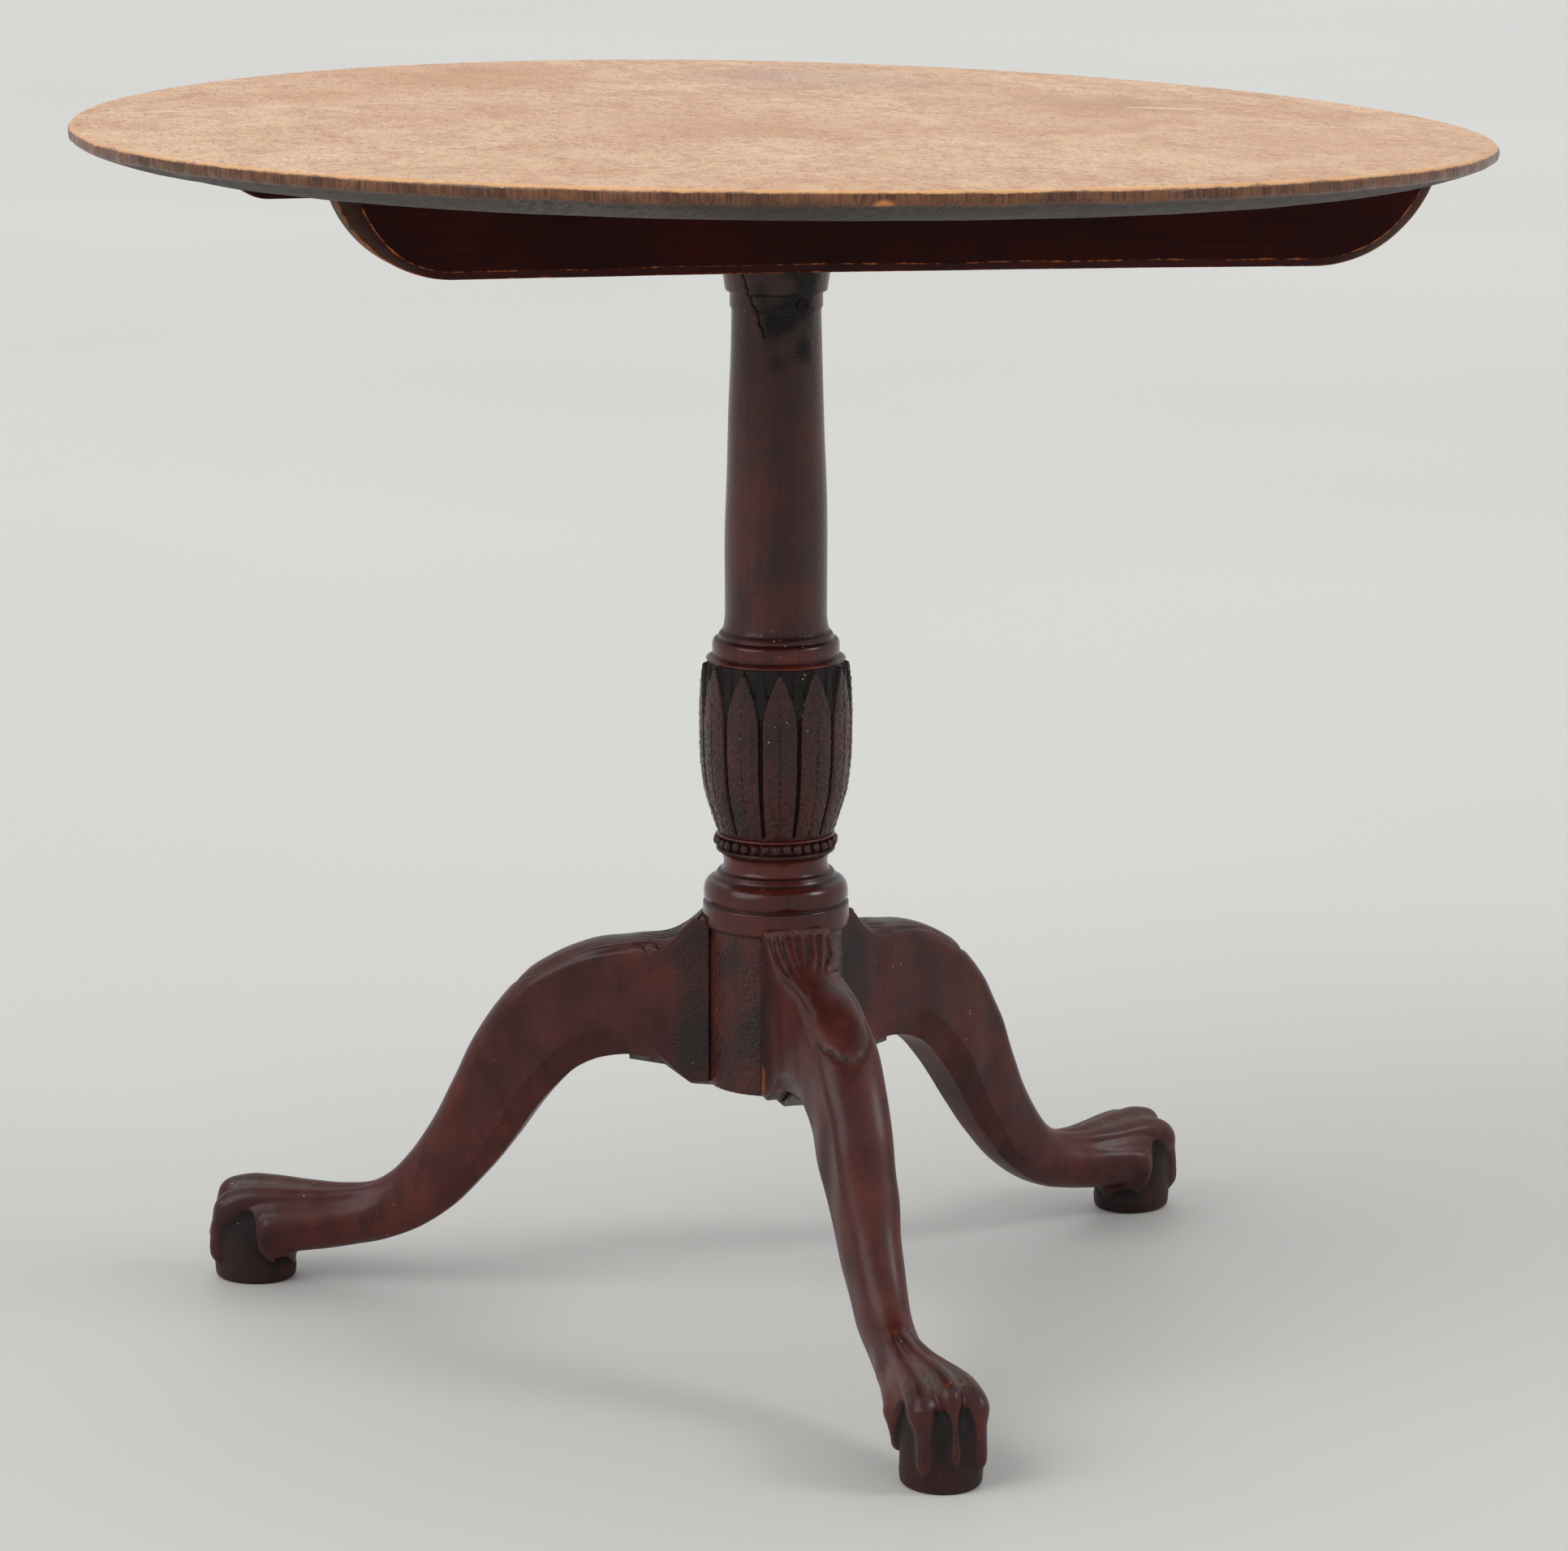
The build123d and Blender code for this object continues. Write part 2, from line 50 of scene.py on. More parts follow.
# %% [markdown]
# ## Helpers for shapes
#
# A shape is a grid of points: rows run along the piece and columns run round it. The same few
# curves, blurs and soft steps are used for every piece, always on whole arrays.

# %% Curves and soft steps
def soft_step(x, low, high):
    """0 below low, 1 above high, and an S-shaped cubic between them."""
    t = np.clip((x - low) / (high - low), 0, 1)
    return t * t * (3 - 2 * t)


def bell(x, centre, width):
    """Bell curve of height 1: e to the power of minus half the squared distance in widths."""
    return np.exp(-0.5 * ((x - centre) / width) ** 2)


def through(points, at):
    """Smooth curve through points whose first number is the place: cubic Hermite pieces whose
    slope at each point is that of the chord between its neighbours."""
    p = np.array(points, float)
    x, y = p[:, 0], p[:, 1:]
    slope = np.gradient(y, x, axis=0)
    at = np.clip(at, x[0], x[-1])
    i = np.clip(np.searchsorted(x, at, side="right") - 1, 0, len(x) - 2)
    gap = (x[i + 1] - x[i])
    t = ((at - x[i]) / gap)[..., None]
    gap = gap[..., None]
    return ((2 * t**3 - 3 * t**2 + 1) * y[i] + (t**3 - 2 * t**2 + t) * gap * slope[i]
            + (3 * t**2 - 2 * t**3) * y[i + 1] + (t**3 - t**2) * gap * slope[i + 1])


def on_drum(radius, angle, height):
    """Points at a radius and height, an angle round the Z axis from +X."""
    level = 0 * height
    return np.stack([radius * np.cos(angle) + level, radius * np.sin(angle) + level, height], -1)


def run_length(points):
    """Distance along a line of points, from its start to each of them."""
    steps = np.linalg.norm(np.diff(points, axis=0), axis=1)
    return np.concatenate([[0], np.cumsum(steps)])


def turned_profile(pieces, step, softness):
    """Line of (radius, height) points for a turned piece: each (smooth, points) piece is a curve
    or straight runs, the whole is cut into even steps, and a short blur wears its corners."""
    parts = []
    for smooth, points in pieces:
        p = np.array(points, float)
        if smooth:
            s = run_length(p)
            p = through(np.column_stack([s, p]), np.linspace(0, s[-1], 60))
        parts.append(p)
    line = np.concatenate(parts)
    s = run_length(line)
    keep = np.concatenate([[True], np.diff(s) > 1e-6])
    line, s = line[keep], s[keep]
    even = np.linspace(0, s[-1], int(s[-1] / step) + 1)
    line = np.column_stack([np.interp(even, s, line[:, k]) for k in (0, 1)])
    reach = int(3 * softness / step) + 1
    weights = np.exp(-0.5 * (np.arange(-reach, reach + 1) * step / softness) ** 2)
    weights /= weights.sum()
    padded = np.pad(line, ((reach, reach), (0, 0)), mode="edge")
    blurred = np.column_stack([np.convolve(padded[:, k], weights, "valid") for k in (0, 1)])
    blurred[0], blurred[-1] = line[0], line[-1]
    return blurred


def waves(points, size, seed, count=24):
    """Smooth uneven field, about -1 to 1: the mean of many plane waves of one size whose
    directions and phases are drawn from a seeded list."""
    rng = np.random.default_rng(seed)
    ways = rng.normal(size=(count, 3))
    ways *= (2 * pi / size) * rng.uniform(0.6, 1.4, (count, 1)) / np.linalg.norm(ways, axis=1, keepdims=True)
    phases = rng.uniform(0, 2 * pi, count)
    return np.sin(points @ ways.T + phases).sum(-1) * (1.6 / np.sqrt(count))


# %% [markdown]
# A closed grid becomes a mesh in one call. Its columns join up round the piece, and each end
# is closed by a point in its middle, so the piece is watertight with its faces outwards.

# %% Grid to mesh
def closed_mesh(name, grid, marks):
    """Mesh of a tube given as rows x columns x 3 points in millimetres: quads between
    neighbours, and at both ends a fan of triangles about the mean of the end row. Each mark is
    one share per point; an end's middle gets the mean of its row."""
    rows, cols, _ = grid.shape
    ends = np.stack([grid[0].mean(0), grid[-1].mean(0)])
    points = np.concatenate([grid.reshape(-1, 3), ends]) * MM
    index = np.arange(rows * cols).reshape(rows, cols)
    a, b = index[:-1], index[1:]
    a2, b2 = np.roll(a, -1, 1), np.roll(b, -1, 1)
    quads = np.stack([a, a2, b2, b], -1).reshape(-1, 4)
    first, last = rows * cols, rows * cols + 1
    row = index[0]
    cap_a = np.stack([np.full(cols, first), np.roll(row, -1), row], -1)
    row = index[-1]
    cap_b = np.stack([np.full(cols, last), row, np.roll(row, -1)], -1)
    mesh = bpy.data.meshes.new(name)
    mesh.from_pydata(points.tolist(), [], quads.tolist() + cap_a.tolist() + cap_b.tolist())
    for label, values in marks.items():
        mark = mesh.attributes.new(label, "FLOAT", "POINT")
        full = np.concatenate([values.reshape(-1), [values[0].mean(), values[-1].mean()]])
        mark.data.foreach_set("value", full.astype(np.float32))
    mesh.polygons.foreach_set("use_smooth", np.ones(len(mesh.polygons), bool))
    mesh.update()
    return mesh


def add_piece(name, mesh, body, slot, *replaced):
    """Object for a finished mesh, riding on its body and standing for its plain nodes."""
    clean = bmesh.new()
    clean.from_mesh(mesh)
    bmesh.ops.remove_doubles(clean, verts=clean.verts, dist=1e-6)
    bmesh.ops.recalc_face_normals(clean, faces=clean.faces)
    clean.to_mesh(mesh)
    clean.free()
    piece = bpy.data.objects.new(name, mesh)
    bpy.context.scene.collection.objects.link(piece)
    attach(piece, body)
    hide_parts(*replaced)
    print(name, len(mesh.vertices), "points", len(mesh.polygons), "faces")
    return piece


# %% [markdown]
# ## Helpers for finishes
#
# Old polished wood is layers: a ground colour, figure, dirt with painted shade in the hollows
# and bare wood on the edges. Sums of socket values say that most plainly, so a small class lets
# Python's own operators add the Math nodes.

# %% Shader arithmetic
class Signal:
    """One output socket; arithmetic on it adds Math nodes and gives the result's socket."""

    def __init__(self, finish, socket):
        self.finish, self.socket = finish, socket

    def maths(self, operation, *values):
        """The result of one sum, difference or product of sockets and numbers."""
        return self.finish.node("ShaderNodeMath", {"operation": operation}, dict(enumerate(values)))

    def __add__(self, other): return self.maths("ADD", self, other)
    def __sub__(self, other): return self.maths("SUBTRACT", self, other)
    def __mul__(self, other): return self.maths("MULTIPLY", self, other)
    def __rsub__(self, other): return self.maths("SUBTRACT", other, self)


def paint(red, green, blue):
    """Linear colour for a shader from the three 0-255 values that a screen shows."""
    share = np.array([red, green, blue]) / 255
    linear = np.where(share <= 0.04045, share / 12.92, ((share + 0.055) / 1.055) ** 2.4)
    return (*linear.tolist(), 1.0)


class Finish:
    """One material and the few kinds of node that the finishes are made of."""

    def __init__(self, name, **fixed):
        self.material = bpy.data.materials.new(name)
        self.material.use_nodes = True
        self.tree = self.material.node_tree
        self.shader = self.tree.nodes["Principled BSDF"]
        self.place = self.node("ShaderNodeTexCoord", out="Object")
        for label, value in fixed.items():
            self.shader.inputs[label.replace("_", " ")].default_value = value

    def node(self, kind, settings=None, inputs=None, out=0):
        """Any node: its type, its settings, then the values or links of its sockets."""
        made = self.tree.nodes.new(kind)
        for label, value in (settings or {}).items():
            setattr(made, label, value)
        for label, value in (inputs or {}).items():
            if isinstance(value, Signal):
                self.tree.links.new(value.socket, made.inputs[label])
            else:
                made.inputs[label].default_value = value
        return Signal(self, made.outputs[out])

    def feed(self, label, value):
        """Link a varying value to one socket of the shader."""
        self.tree.links.new(value.socket, self.shader.inputs[label])

    def stretch(self, scale, turn=(0, 0, 0)):
        """Coordinates scaled, and turned, so that a pattern runs long one way."""
        return self.node("ShaderNodeMapping", {"vector_type": "POINT"},
                         {"Vector": self.place, "Scale": scale, "Rotation": turn})

    def noise(self, scale, detail=3.0, rough=0.55, place=None, distortion=0.0):
        """Cloudy value, mostly 0.3 to 0.7, with a given number of waves in a metre."""
        return self.node("ShaderNodeTexNoise", None,
                         {"Vector": place or self.place, "Scale": scale, "Detail": detail,
                          "Roughness": rough, "Distortion": distortion}, "Fac")

    def cells(self, scale):
        """Distance to the nearest of many scattered points, in parts of their spacing."""
        return self.node("ShaderNodeTexVoronoi", {"feature": "F1"},
                         {"Vector": self.place, "Scale": scale}, "Distance")

    def between(self, value, low, high, start=0.0, end=1.0):
        """start where value is under low, end where it is over high, smooth between."""
        return self.node("ShaderNodeMapRange", {"interpolation_type": "SMOOTHSTEP"},
                         {"Value": value, "From Min": low, "From Max": high,
                          "To Min": start, "To Max": end})

    def mark(self, label):
        """The share, 0 to 1, that a piece's mesh carries under this name."""
        return self.node("ShaderNodeAttribute", {"attribute_name": label}, out="Fac")

    def blend(self, share, first, second):
        """Colour between two, by a share that is 0 for the first and 1 for the second."""
        return self.node("ShaderNodeMix", {"data_type": "RGBA"},
                         {0: share, 6: first, 7: second}, 2)

    def spot(self, x, y, z, inner, outer, wobble=0.0):
        """1 near a point (mm), 0 beyond the outer distance; wobble makes its edge uneven."""
        apart = self.node("ShaderNodeVectorMath", {"operation": "DISTANCE"},
                          {0: self.place, 1: (x * MM, y * MM, z * MM)}, "Value")
        if wobble:
            apart = apart + (self.noise(45, 3, 0.6) - 0.5) * (wobble * MM)
        return self.between(apart, inner * MM, outer * MM, 1.0, 0.0)

    def bump(self, height, strength, distance):
        """Normal tipped by the slope of a height field whose full range is distance metres."""
        return self.node("ShaderNodeBump", None,
                         {"Height": height, "Strength": strength, "Distance": distance}, "Normal")


# %% [markdown]
# ### Dark polished wood
#
# The column, the legs and the bearers are red-brown wood under many years of polish. The
# ground wanders between near-black red and warmer brown, and fine streaks follow the grain.
# The rest is wear and painted shade, and each piece's mesh carries marks that say where it lies,
# because both follow the shape: "worn" is polish rubbed to bare wood on the arrises, "torn" is a
# fresh orange break, the mark of the hollows is dirt and painted shade, near black, "dust" is
# pale dirt that settled in them, "crazed" is varnish that has blistered and blackened, and "end"
# is grey end grain. A piece without one of the marks has none of that wear or shade.

# %% Dark wood
def dark_wood(name, grain, ground, warm, roughness, haze, coat=0.0, worn=(128, 68, 38), crackle=0.0,
              painted_glints=0.0):
    """Finish of one piece. Its colour is the figure from ground to warm, with pores, end grain,
    worn and torn wood, dirt with painted shade in the hollows, dust, blackened varnish and pale
    specks of painted glint each laid over the last by a share of its own. Grain stretches the
    pattern along the piece, haze is the plain reflection and coat the polish, which is missing
    where there is dirt and shade or dust. Crackle is the height of the blisters."""
    wood = Finish(name, Coat_Roughness=0.2, Specular_IOR_Level=haze)
    cloud = wood.noise(16, 5, 0.6)
    fibre = wood.noise(75, 4, 0.6, wood.stretch(grain))
    pores = wood.noise(300, 2, 0.5, wood.stretch(grain))
    fine = wood.noise(420, 2, 0.6)
    figure = wood.between(cloud * 0.8 + fibre * 0.2, 0.32, 0.74)
    colour = wood.blend(figure, paint(*ground), paint(*warm))
    pore_tone = paint(*(0.45 * np.array(ground)))
    colour = wood.blend(wood.between(pores, 0.36, 0.48, 0.25, 0.0), colour, pore_tone)
    end_grain = wood.between(wood.noise(190, 3, 0.7, wood.stretch((0.3, 1, 1))), 0.35, 0.62, 0.45, 1.0)
    colour = wood.blend(wood.mark("end") * end_grain, colour, paint(78, 60, 50))
    ragged = wood.noise(120, 4, 0.7)
    rub = wood.between(wood.mark("worn") + (ragged - 0.5) * 1.8, 0.55, 0.95)
    colour = wood.blend(rub, colour, paint(*worn))
    torn = wood.between(wood.mark("torn") + (ragged - 0.5) * 0.8, 0.45, 0.65)
    colour = wood.blend(torn, colour, paint(176, 84, 36))
    # Near black in the hollows: dirt, and painted shade where the hollows lie in shadow.
    grime_and_shade = wood.between(wood.mark("grime_and_shade") + (ragged - 0.5) * 0.3, 0.12, 0.8)
    colour = wood.blend(grime_and_shade * 0.95, colour, paint(13, 10, 10))
    dust = wood.mark("dust") * wood.between(fine, 0.4, 0.62, 0.4, 1.0)
    colour = wood.blend(dust, colour, paint(104, 92, 82))
    height = fibre * 0.25 + pores * 0.15
    if crackle:
        crazed = wood.mark("crazed")
        blisters = wood.between(wood.noise(820, 1, 0.5), 0.38, 0.62)
        height = height + blisters * (crazed * crackle) + fine * 0.15
        patches = wood.between(wood.noise(26, 3, 0.6), 0.44, 0.62)
        colour = wood.blend(crazed * (patches * 0.3 + 0.45), colour, paint(20, 16, 16))
    # Pale specks in groups are painted glints: light caught by the blistered varnish, laid on as colour.
    if painted_glints:
        dots = wood.cells(210) + (ragged - 0.5) * 0.3
        groups = wood.between(wood.noise(13, 2), 0.60, 0.66)
        here = wood.between(dots, 0.05, 0.12, 1.0, 0.0) * groups
        colour = wood.blend(here * painted_glints, colour, paint(196, 190, 182))
    clean = (1 - grime_and_shade) * (1 - dust)
    wood.feed("Base Color", colour)
    dull = wood.between(cloud, 0.3, 0.7, roughness - 0.05, roughness + 0.1)
    wood.feed("Roughness", dull + (1 - clean) * 0.25)
    wood.feed("Coat Weight", clean * coat)
    wood.feed("Normal", wood.bump(height, 0.4, 0.0009))
    return wood.material


ALONG_X, ALONG_Y, ALONG_Z = (0.06, 1, 1), (1, 0.06, 1), (1, 1, 0.06)
column_finish = dark_wood("column_mahogany", ALONG_Z, (46, 15, 13), (98, 38, 28), roughness=0.24, haze=0.24,
                          coat=0.26, crackle=2.4, painted_glints=0.8)
leg_finish = dark_wood("leg_mahogany", (0.35, 0.35, 0.12), (50, 18, 16), (94, 40, 32), roughness=0.4,
                       haze=0.26, coat=0.1, crackle=2.0, painted_glints=0.5)
bearer_finish = dark_wood("bearer_wood", ALONG_X, (38, 10, 7), (62, 18, 12), roughness=0.5, haze=0.08,
                          worn=(168, 92, 44))
peg_finish = dark_wood("peg_wood", ALONG_Y, (18, 10, 9), (34, 20, 16), roughness=0.5, haze=0.15)
block_finish = dark_wood("block_wood", ALONG_Y, (60, 30, 22), (104, 60, 40), roughness=0.55, haze=0.25)
pin_finish = dark_wood("pin_wood", ALONG_Y, (70, 42, 28), (120, 78, 50), roughness=0.5, haze=0.25)

# %% [markdown]
# ### The top's finish
#
# The upper side is worn down to a tan, burr-like figure with orange patches, and a purplish
# cloud at the back is painted sheen. Its arris is rubbed to a bright line, the rim is brown with
# the marks of the tool that shaped it, and the bevel and underside keep a dull dark stain.

# %% Top wood
TOP_SURFACE, THICK = 720.0, 22.0
UNDERSIDE = TOP_SURFACE - THICK
# place across the top, size of the full and the outer patch, colour, how strong at most
# The third patch, a purplish grey cloud at the back, is painted sheen: light reflected at the far side of the
# top.
STAINS_AND_SHEEN = [(-123, 296, 20, 120, (190, 124, 78), 0.45), (-230, 190, 10, 90, (192, 128, 82), 0.4),
          (97, 263, 15, 130, (168, 132, 128), 0.4), (137, -248, 5, 60, (230, 196, 160), 0.5),
          (-40, -40, 5, 100, (196, 148, 112), 0.4), (230, 90, 10, 90, (176, 126, 96), 0.45)]


def top_wood():
    """Finish of the boards. The face is two tans mixed by three sizes of figure, with the
    stains and one patch of painted sheen, flecks and scratches laid over; the marks arris, rim,
    bevel and under then put each part's own colour over it."""
    wood = Finish("top_wood", Specular_IOR_Level=0.38, Coat_Roughness=0.3)
    grain = wood.stretch((1, 0.7, 1), (0, 0, radians(8)))
    swirl = wood.noise(17, 5, 0.62, grain, 1.2)
    curl = wood.noise(75, 4, 0.65, grain, 2.0)
    streaks = wood.noise(230, 5, 0.75, wood.stretch((0.5, 1, 1), (0, 0, radians(14))))
    fleck = wood.noise(520, 3, 0.6, wood.stretch((1, 0.3, 1), (0, 0, radians(6))))
    ragged = wood.noise(160, 4, 0.7)
    share = wood.between(swirl * 0.3 + curl * 0.3 + streaks * 0.4, 0.38, 0.6)
    face = wood.blend(share, paint(190, 137, 96), paint(229, 193, 156))
    broad = wood.between(wood.noise(3.2, 3, 0.5), 0.45, 0.7, 0.0, 0.4)
    face = wood.blend(broad, face, paint(196, 140, 100))
    for x, y, inner, outer, tone, most in STAINS_AND_SHEEN:
        face = wood.blend(wood.spot(x, y, TOP_SURFACE, inner, outer, 60) * most, face, paint(*tone))
    face = wood.blend(wood.between(fleck, 0.34, 0.46, 0.6, 0.0), face, paint(132, 84, 54))
    marks = wood.between(wood.noise(34, 5, 0.8), 0.33, 0.29, 1.0, 0.0)
    face = wood.blend((1 - marks) * 0.5, face, paint(92, 58, 44))
    scratch = wood.noise(26, 4, 0.75, wood.stretch((0.12, 1, 1), (0, 0, radians(24))))
    scratch = wood.between(scratch, 0.66, 0.70)
    face = wood.blend(scratch * 0.6, face, paint(236, 208, 178))
    rim_marks = wood.noise(700, 2, 0.6, wood.stretch((1, 1, 0.06)))
    rim_tone = wood.noise(60, 3, 0.6)
    rim_share = wood.between(rim_marks * 0.5 + rim_tone * 0.5, 0.38, 0.6)
    rim = wood.blend(rim_share, paint(74, 44, 28), paint(120, 78, 50))
    chip = wood.spot(-60, -406, 712, 5, 8, 6)
    rim = wood.blend(chip, rim, paint(206, 132, 70))
    arris = wood.between(wood.mark("arris") + (ragged - 0.5) * 1.4, 0.35, 0.85)
    striae = wood.noise(330, 2, 0.5, wood.stretch((1, 0.05, 1), (0, 0, radians(-38))))
    stretches = wood.between(wood.noise(7, 2, 0.5), 0.47, 0.56)
    bevel_share = wood.between(striae, 0.42, 0.58) * (stretches * 0.7 + 0.3)
    bevel = wood.blend(bevel_share, paint(42, 31, 26), paint(74, 60, 52))
    under_share = wood.between(wood.noise(70, 4, 0.6, wood.stretch(ALONG_Y)), 0.35, 0.65)
    under = wood.blend(under_share, paint(44, 21, 18), paint(72, 34, 26))
    colour = wood.blend(wood.mark("rim"), face, rim)
    colour = wood.blend(wood.mark("bevel"), colour, bevel)
    colour = wood.blend(wood.mark("under"), colour, under)
    colour = wood.blend(arris * 0.85, colour, paint(222, 168, 114))
    wood.feed("Base Color", colour)
    dull = wood.mark("rim") * -0.1 + wood.mark("under") * 0.15 + wood.mark("bevel") * 0.3
    wood.feed("Roughness", dull + wood.between(curl, 0.3, 0.7, 0.36, 0.48))
    height = (curl * 0.4 + fleck * 0.3 + streaks * 0.3) + rim_marks * wood.mark("rim") * 1.6
    height = height + striae * wood.mark("bevel") * 2.5 - scratch * 0.4
    wood.feed("Normal", wood.bump(height, 0.35, 0.0007))
    return wood.material


top_finish = top_wood()

# %% [markdown]
# ### Iron and inner wood
#
# The bolt, its guides and the plate under the column are forged iron: dark, with brown rust
# in patches and brighter where hands and the bolt rub.

# %% Iron
def old_iron(name, shine):
    """Forged iron: metallic where it is clean, dull and rough where it has rusted."""
    iron = Finish(name, Specular_IOR_Level=0.5)
    rust = iron.between(iron.noise(140, 4, 0.65), 0.46, 0.62)
    hammered = iron.noise(80, 3, 0.5)
    colour = iron.blend(iron.between(hammered, 0.35, 0.65), paint(62, 60, 58), paint(112, 108, 102))
    iron.feed("Base Color", iron.blend(rust * (1 - shine), colour, paint(88, 50, 30)))
    iron.feed("Metallic", 1 - rust * 0.85)
    iron.feed("Roughness", rust * 0.35 + iron.between(hammered, 0.3, 0.7, 0.38, 0.52))
    iron.feed("Normal", iron.bump(hammered + rust * 0.6, 0.4, 0.0006))
    return iron.material


iron_finish = old_iron("forged_iron", 0.1)
bolt_finish = old_iron("rubbed_iron", 0.6)
screw_finish = old_iron("screw_iron", 0.3)

# %% [markdown]
# The nodes below are plain blocks, pins, plates and screws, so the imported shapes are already
# right, and only their finish is set.

# %% Finishes for the nodes that stay
kept = {block_finish: ["pivot_block"], pin_finish: ["pivot_pin_front", "pivot_pin_rear", "tenon_wedges"],
        peg_finish: ["neck_peg"],
        iron_finish: ["stay_plate", "bolt_plate", "bolt_guide_front", "bolt_guide_rear", "strike_plate"],
        bolt_finish: ["bolt_bar", "bolt_knob", "bolt_leaf_spring"],
        screw_finish: ["bearer_screws_front", "bearer_screws_rear", "bolt_plate_screws", "strike_screws",
                       "stay_screws"]}
for finish, names in kept.items():
    for name in names:
        for place in nodes[name].material_slots:
            place.material = finish
print("kept nodes", sum(len(names) for names in kept.values()))

# %% [markdown]
# ## The top
#
# The top was one flat disc. Its boards run front to back, and they have cupped, so that the
# left and right edges have dropped about 6 mm below the middle. It is a profile (top, arris,
# rim, bevel, underside) carried round a circle, bent, and then cut along its two glue lines.

# %% Sizes of the head
LEAN = radians(0.97)             # the whole head leans down towards +X
LEAN_HEIGHT = 646.0
TOP_CENTRE_X = 3.1               # the disc sits this far off the column's axis
TOP_RADIUS = 411.5
CUP = 6.0                        # drop of the edges at 400 mm from the middle
CUP_AT = 400.0
SIDE_SLOPE = 0.005               # fall of the top towards +Y
BEARER_BOW = 2.4                 # drop of a bearer's lower edge at the same distance


def leaned(points):
    """Points of the head, drawn level, turned by the lean about the column's shoulder."""
    x, y, z = points[..., 0], points[..., 1], points[..., 2] - LEAN_HEIGHT
    return np.stack([x * cos(LEAN) + z * sin(LEAN), y, LEAN_HEIGHT + z * cos(LEAN) - x * sin(LEAN)], -1)


def cupped(points):
    """Height lowered by the cup's drop times the square of X over 400, and by a slight slope
    along Y."""
    out = points.copy()
    out[..., 2] -= CUP * (points[..., 0] / CUP_AT) ** 2 + SIDE_SLOPE * points[..., 1]
    return out


# %% The disc as one surface
def disc_grid():
    """Profile points (distance in from the edge, height) turned about the middle. The bevel's
    width and the rim's height wander a little, as a hand-worked edge does."""
    face = [(r, 0.0) for r in (411.4, 380, 340, 300, 250, 200, 150, 100, 50, 25, 12, 6, 4.4, 3.5)]
    corner = [(2.8, 0.1), (2.0, 0.35), (1.3, 0.8), (0.75, 1.4), (0.3, 2.2), (0.05, 3.2)]
    rim = [(0.0, 4.4), (0.1, 5.6), (0.35, 6.6), (0.9, 7.4), (1.6, 8.0)]
    bevel = [(3.0, 8.6), (8, 10.6), (16, 13.3), (26, 16.2), (36, 18.6), (46, 20.4), (54, 21.5), (60, 21.95)]
    under = [(r, THICK) for r in (64, 72, 100, 150, 200, 250, 300, 350, 400, 411.4)]
    profile = np.array(face + corner + rim + bevel + under)
    along = np.arange(len(profile))
    n_face, n_corner, n_rim, n_bevel = len(face), len(corner), len(rim), len(bevel)
    angle = np.linspace(0, 2 * pi, 720, endpoint=False)
    edge = on_drum(400, angle, 0 * angle)
    wander, ripple = waves(edge, 60, 3), waves(edge, 14, 4)
    inward, drop = profile[:, 0][:, None], profile[:, 1][:, None]
    rim_share = soft_step(along, n_face + 1, n_face + n_corner)[:, None] * (1 - soft_step(
        along, n_face + n_corner + n_rim + 1, n_face + n_corner + n_rim + n_bevel)[:, None])
    drop = drop + rim_share * (0.2 * wander + 0.1 * ripple)
    radius = TOP_RADIUS - inward - rim_share * 0.3 * (1 + ripple)
    grid = on_drum(radius, angle, TOP_SURFACE - drop + 0 * angle)
    grid[..., 0] += TOP_CENTRE_X
    shares = {"arris": bell(along, n_face + 1.7, 1.5), "rim": soft_step(along, n_face + 1, n_face + 4),
              "bevel": soft_step(along, n_face + n_corner + n_rim - 1.5, n_face + n_corner + n_rim + 0.5),
              "under": soft_step(along, len(profile) - len(under) - 1, len(profile) - len(under) + 0.5)}
    marks = {label: share[:, None] + 0 * angle for label, share in shares.items()}
    marks["arris"] = marks["arris"] * (0.95 + 0.12 * waves(edge, 30, 6))
    return grid, marks


grid, marks = disc_grid()
disc = closed_mesh("disc", leaned(cupped(grid)), marks)
print("disc faces", len(disc.polygons))


# %% Cut it into its boards
def board(name, start, end):
    """The disc between two planes across X, with the cut faces closed."""
    cut = bmesh.new()
    cut.from_mesh(disc)
    for x, way in ((start, -1), (end, 1)):
        if x is not None:
            middle = leaned(np.array([x, 0, TOP_SURFACE])) * MM
            normal = leaned(np.array([way, 0, LEAN_HEIGHT]))
            normal[2] -= LEAN_HEIGHT
            everything = cut.verts[:] + cut.edges[:] + cut.faces[:]
            result = bmesh.ops.bisect_plane(cut, geom=everything, dist=1e-7, plane_co=middle.tolist(),
                                            plane_no=normal.tolist(), clear_outer=True)
            rim_edges = [e for e in result["geom_cut"] if isinstance(e, bmesh.types.BMEdge)]
            closed = bmesh.ops.edgeloop_fill(cut, edges=rim_edges)
            for face in closed["faces"]:
                face.smooth = False
                for edge in face.edges:
                    edge.smooth = False
    mesh = bpy.data.meshes.new(name)
    cut.to_mesh(mesh)
    cut.free()
    mesh.materials.append(top_finish)
    return add_piece(name, mesh, "top", "top_wood", "top_board_" + name.split("_")[0])


LEFT_JOINT, RIGHT_JOINT = -145.0, 135.0
board("left_board", None, LEFT_JOINT)
board("middle_board", LEFT_JOINT, RIGHT_JOINT)
board("right_board", RIGHT_JOINT, None)
bpy.data.meshes.remove(disc)

# %% [markdown]
# ## The bearers
#
# Each bearer is a long batten whose ends sweep up to the top. Its section is carried along X:
# a rectangle with softened corners and a chamfer on the outer lower arris, which is 5 mm wide
# in the middle and wider at the tips. Its arrises are rubbed to bare wood in places. The rear
# bearer is the shallower one.

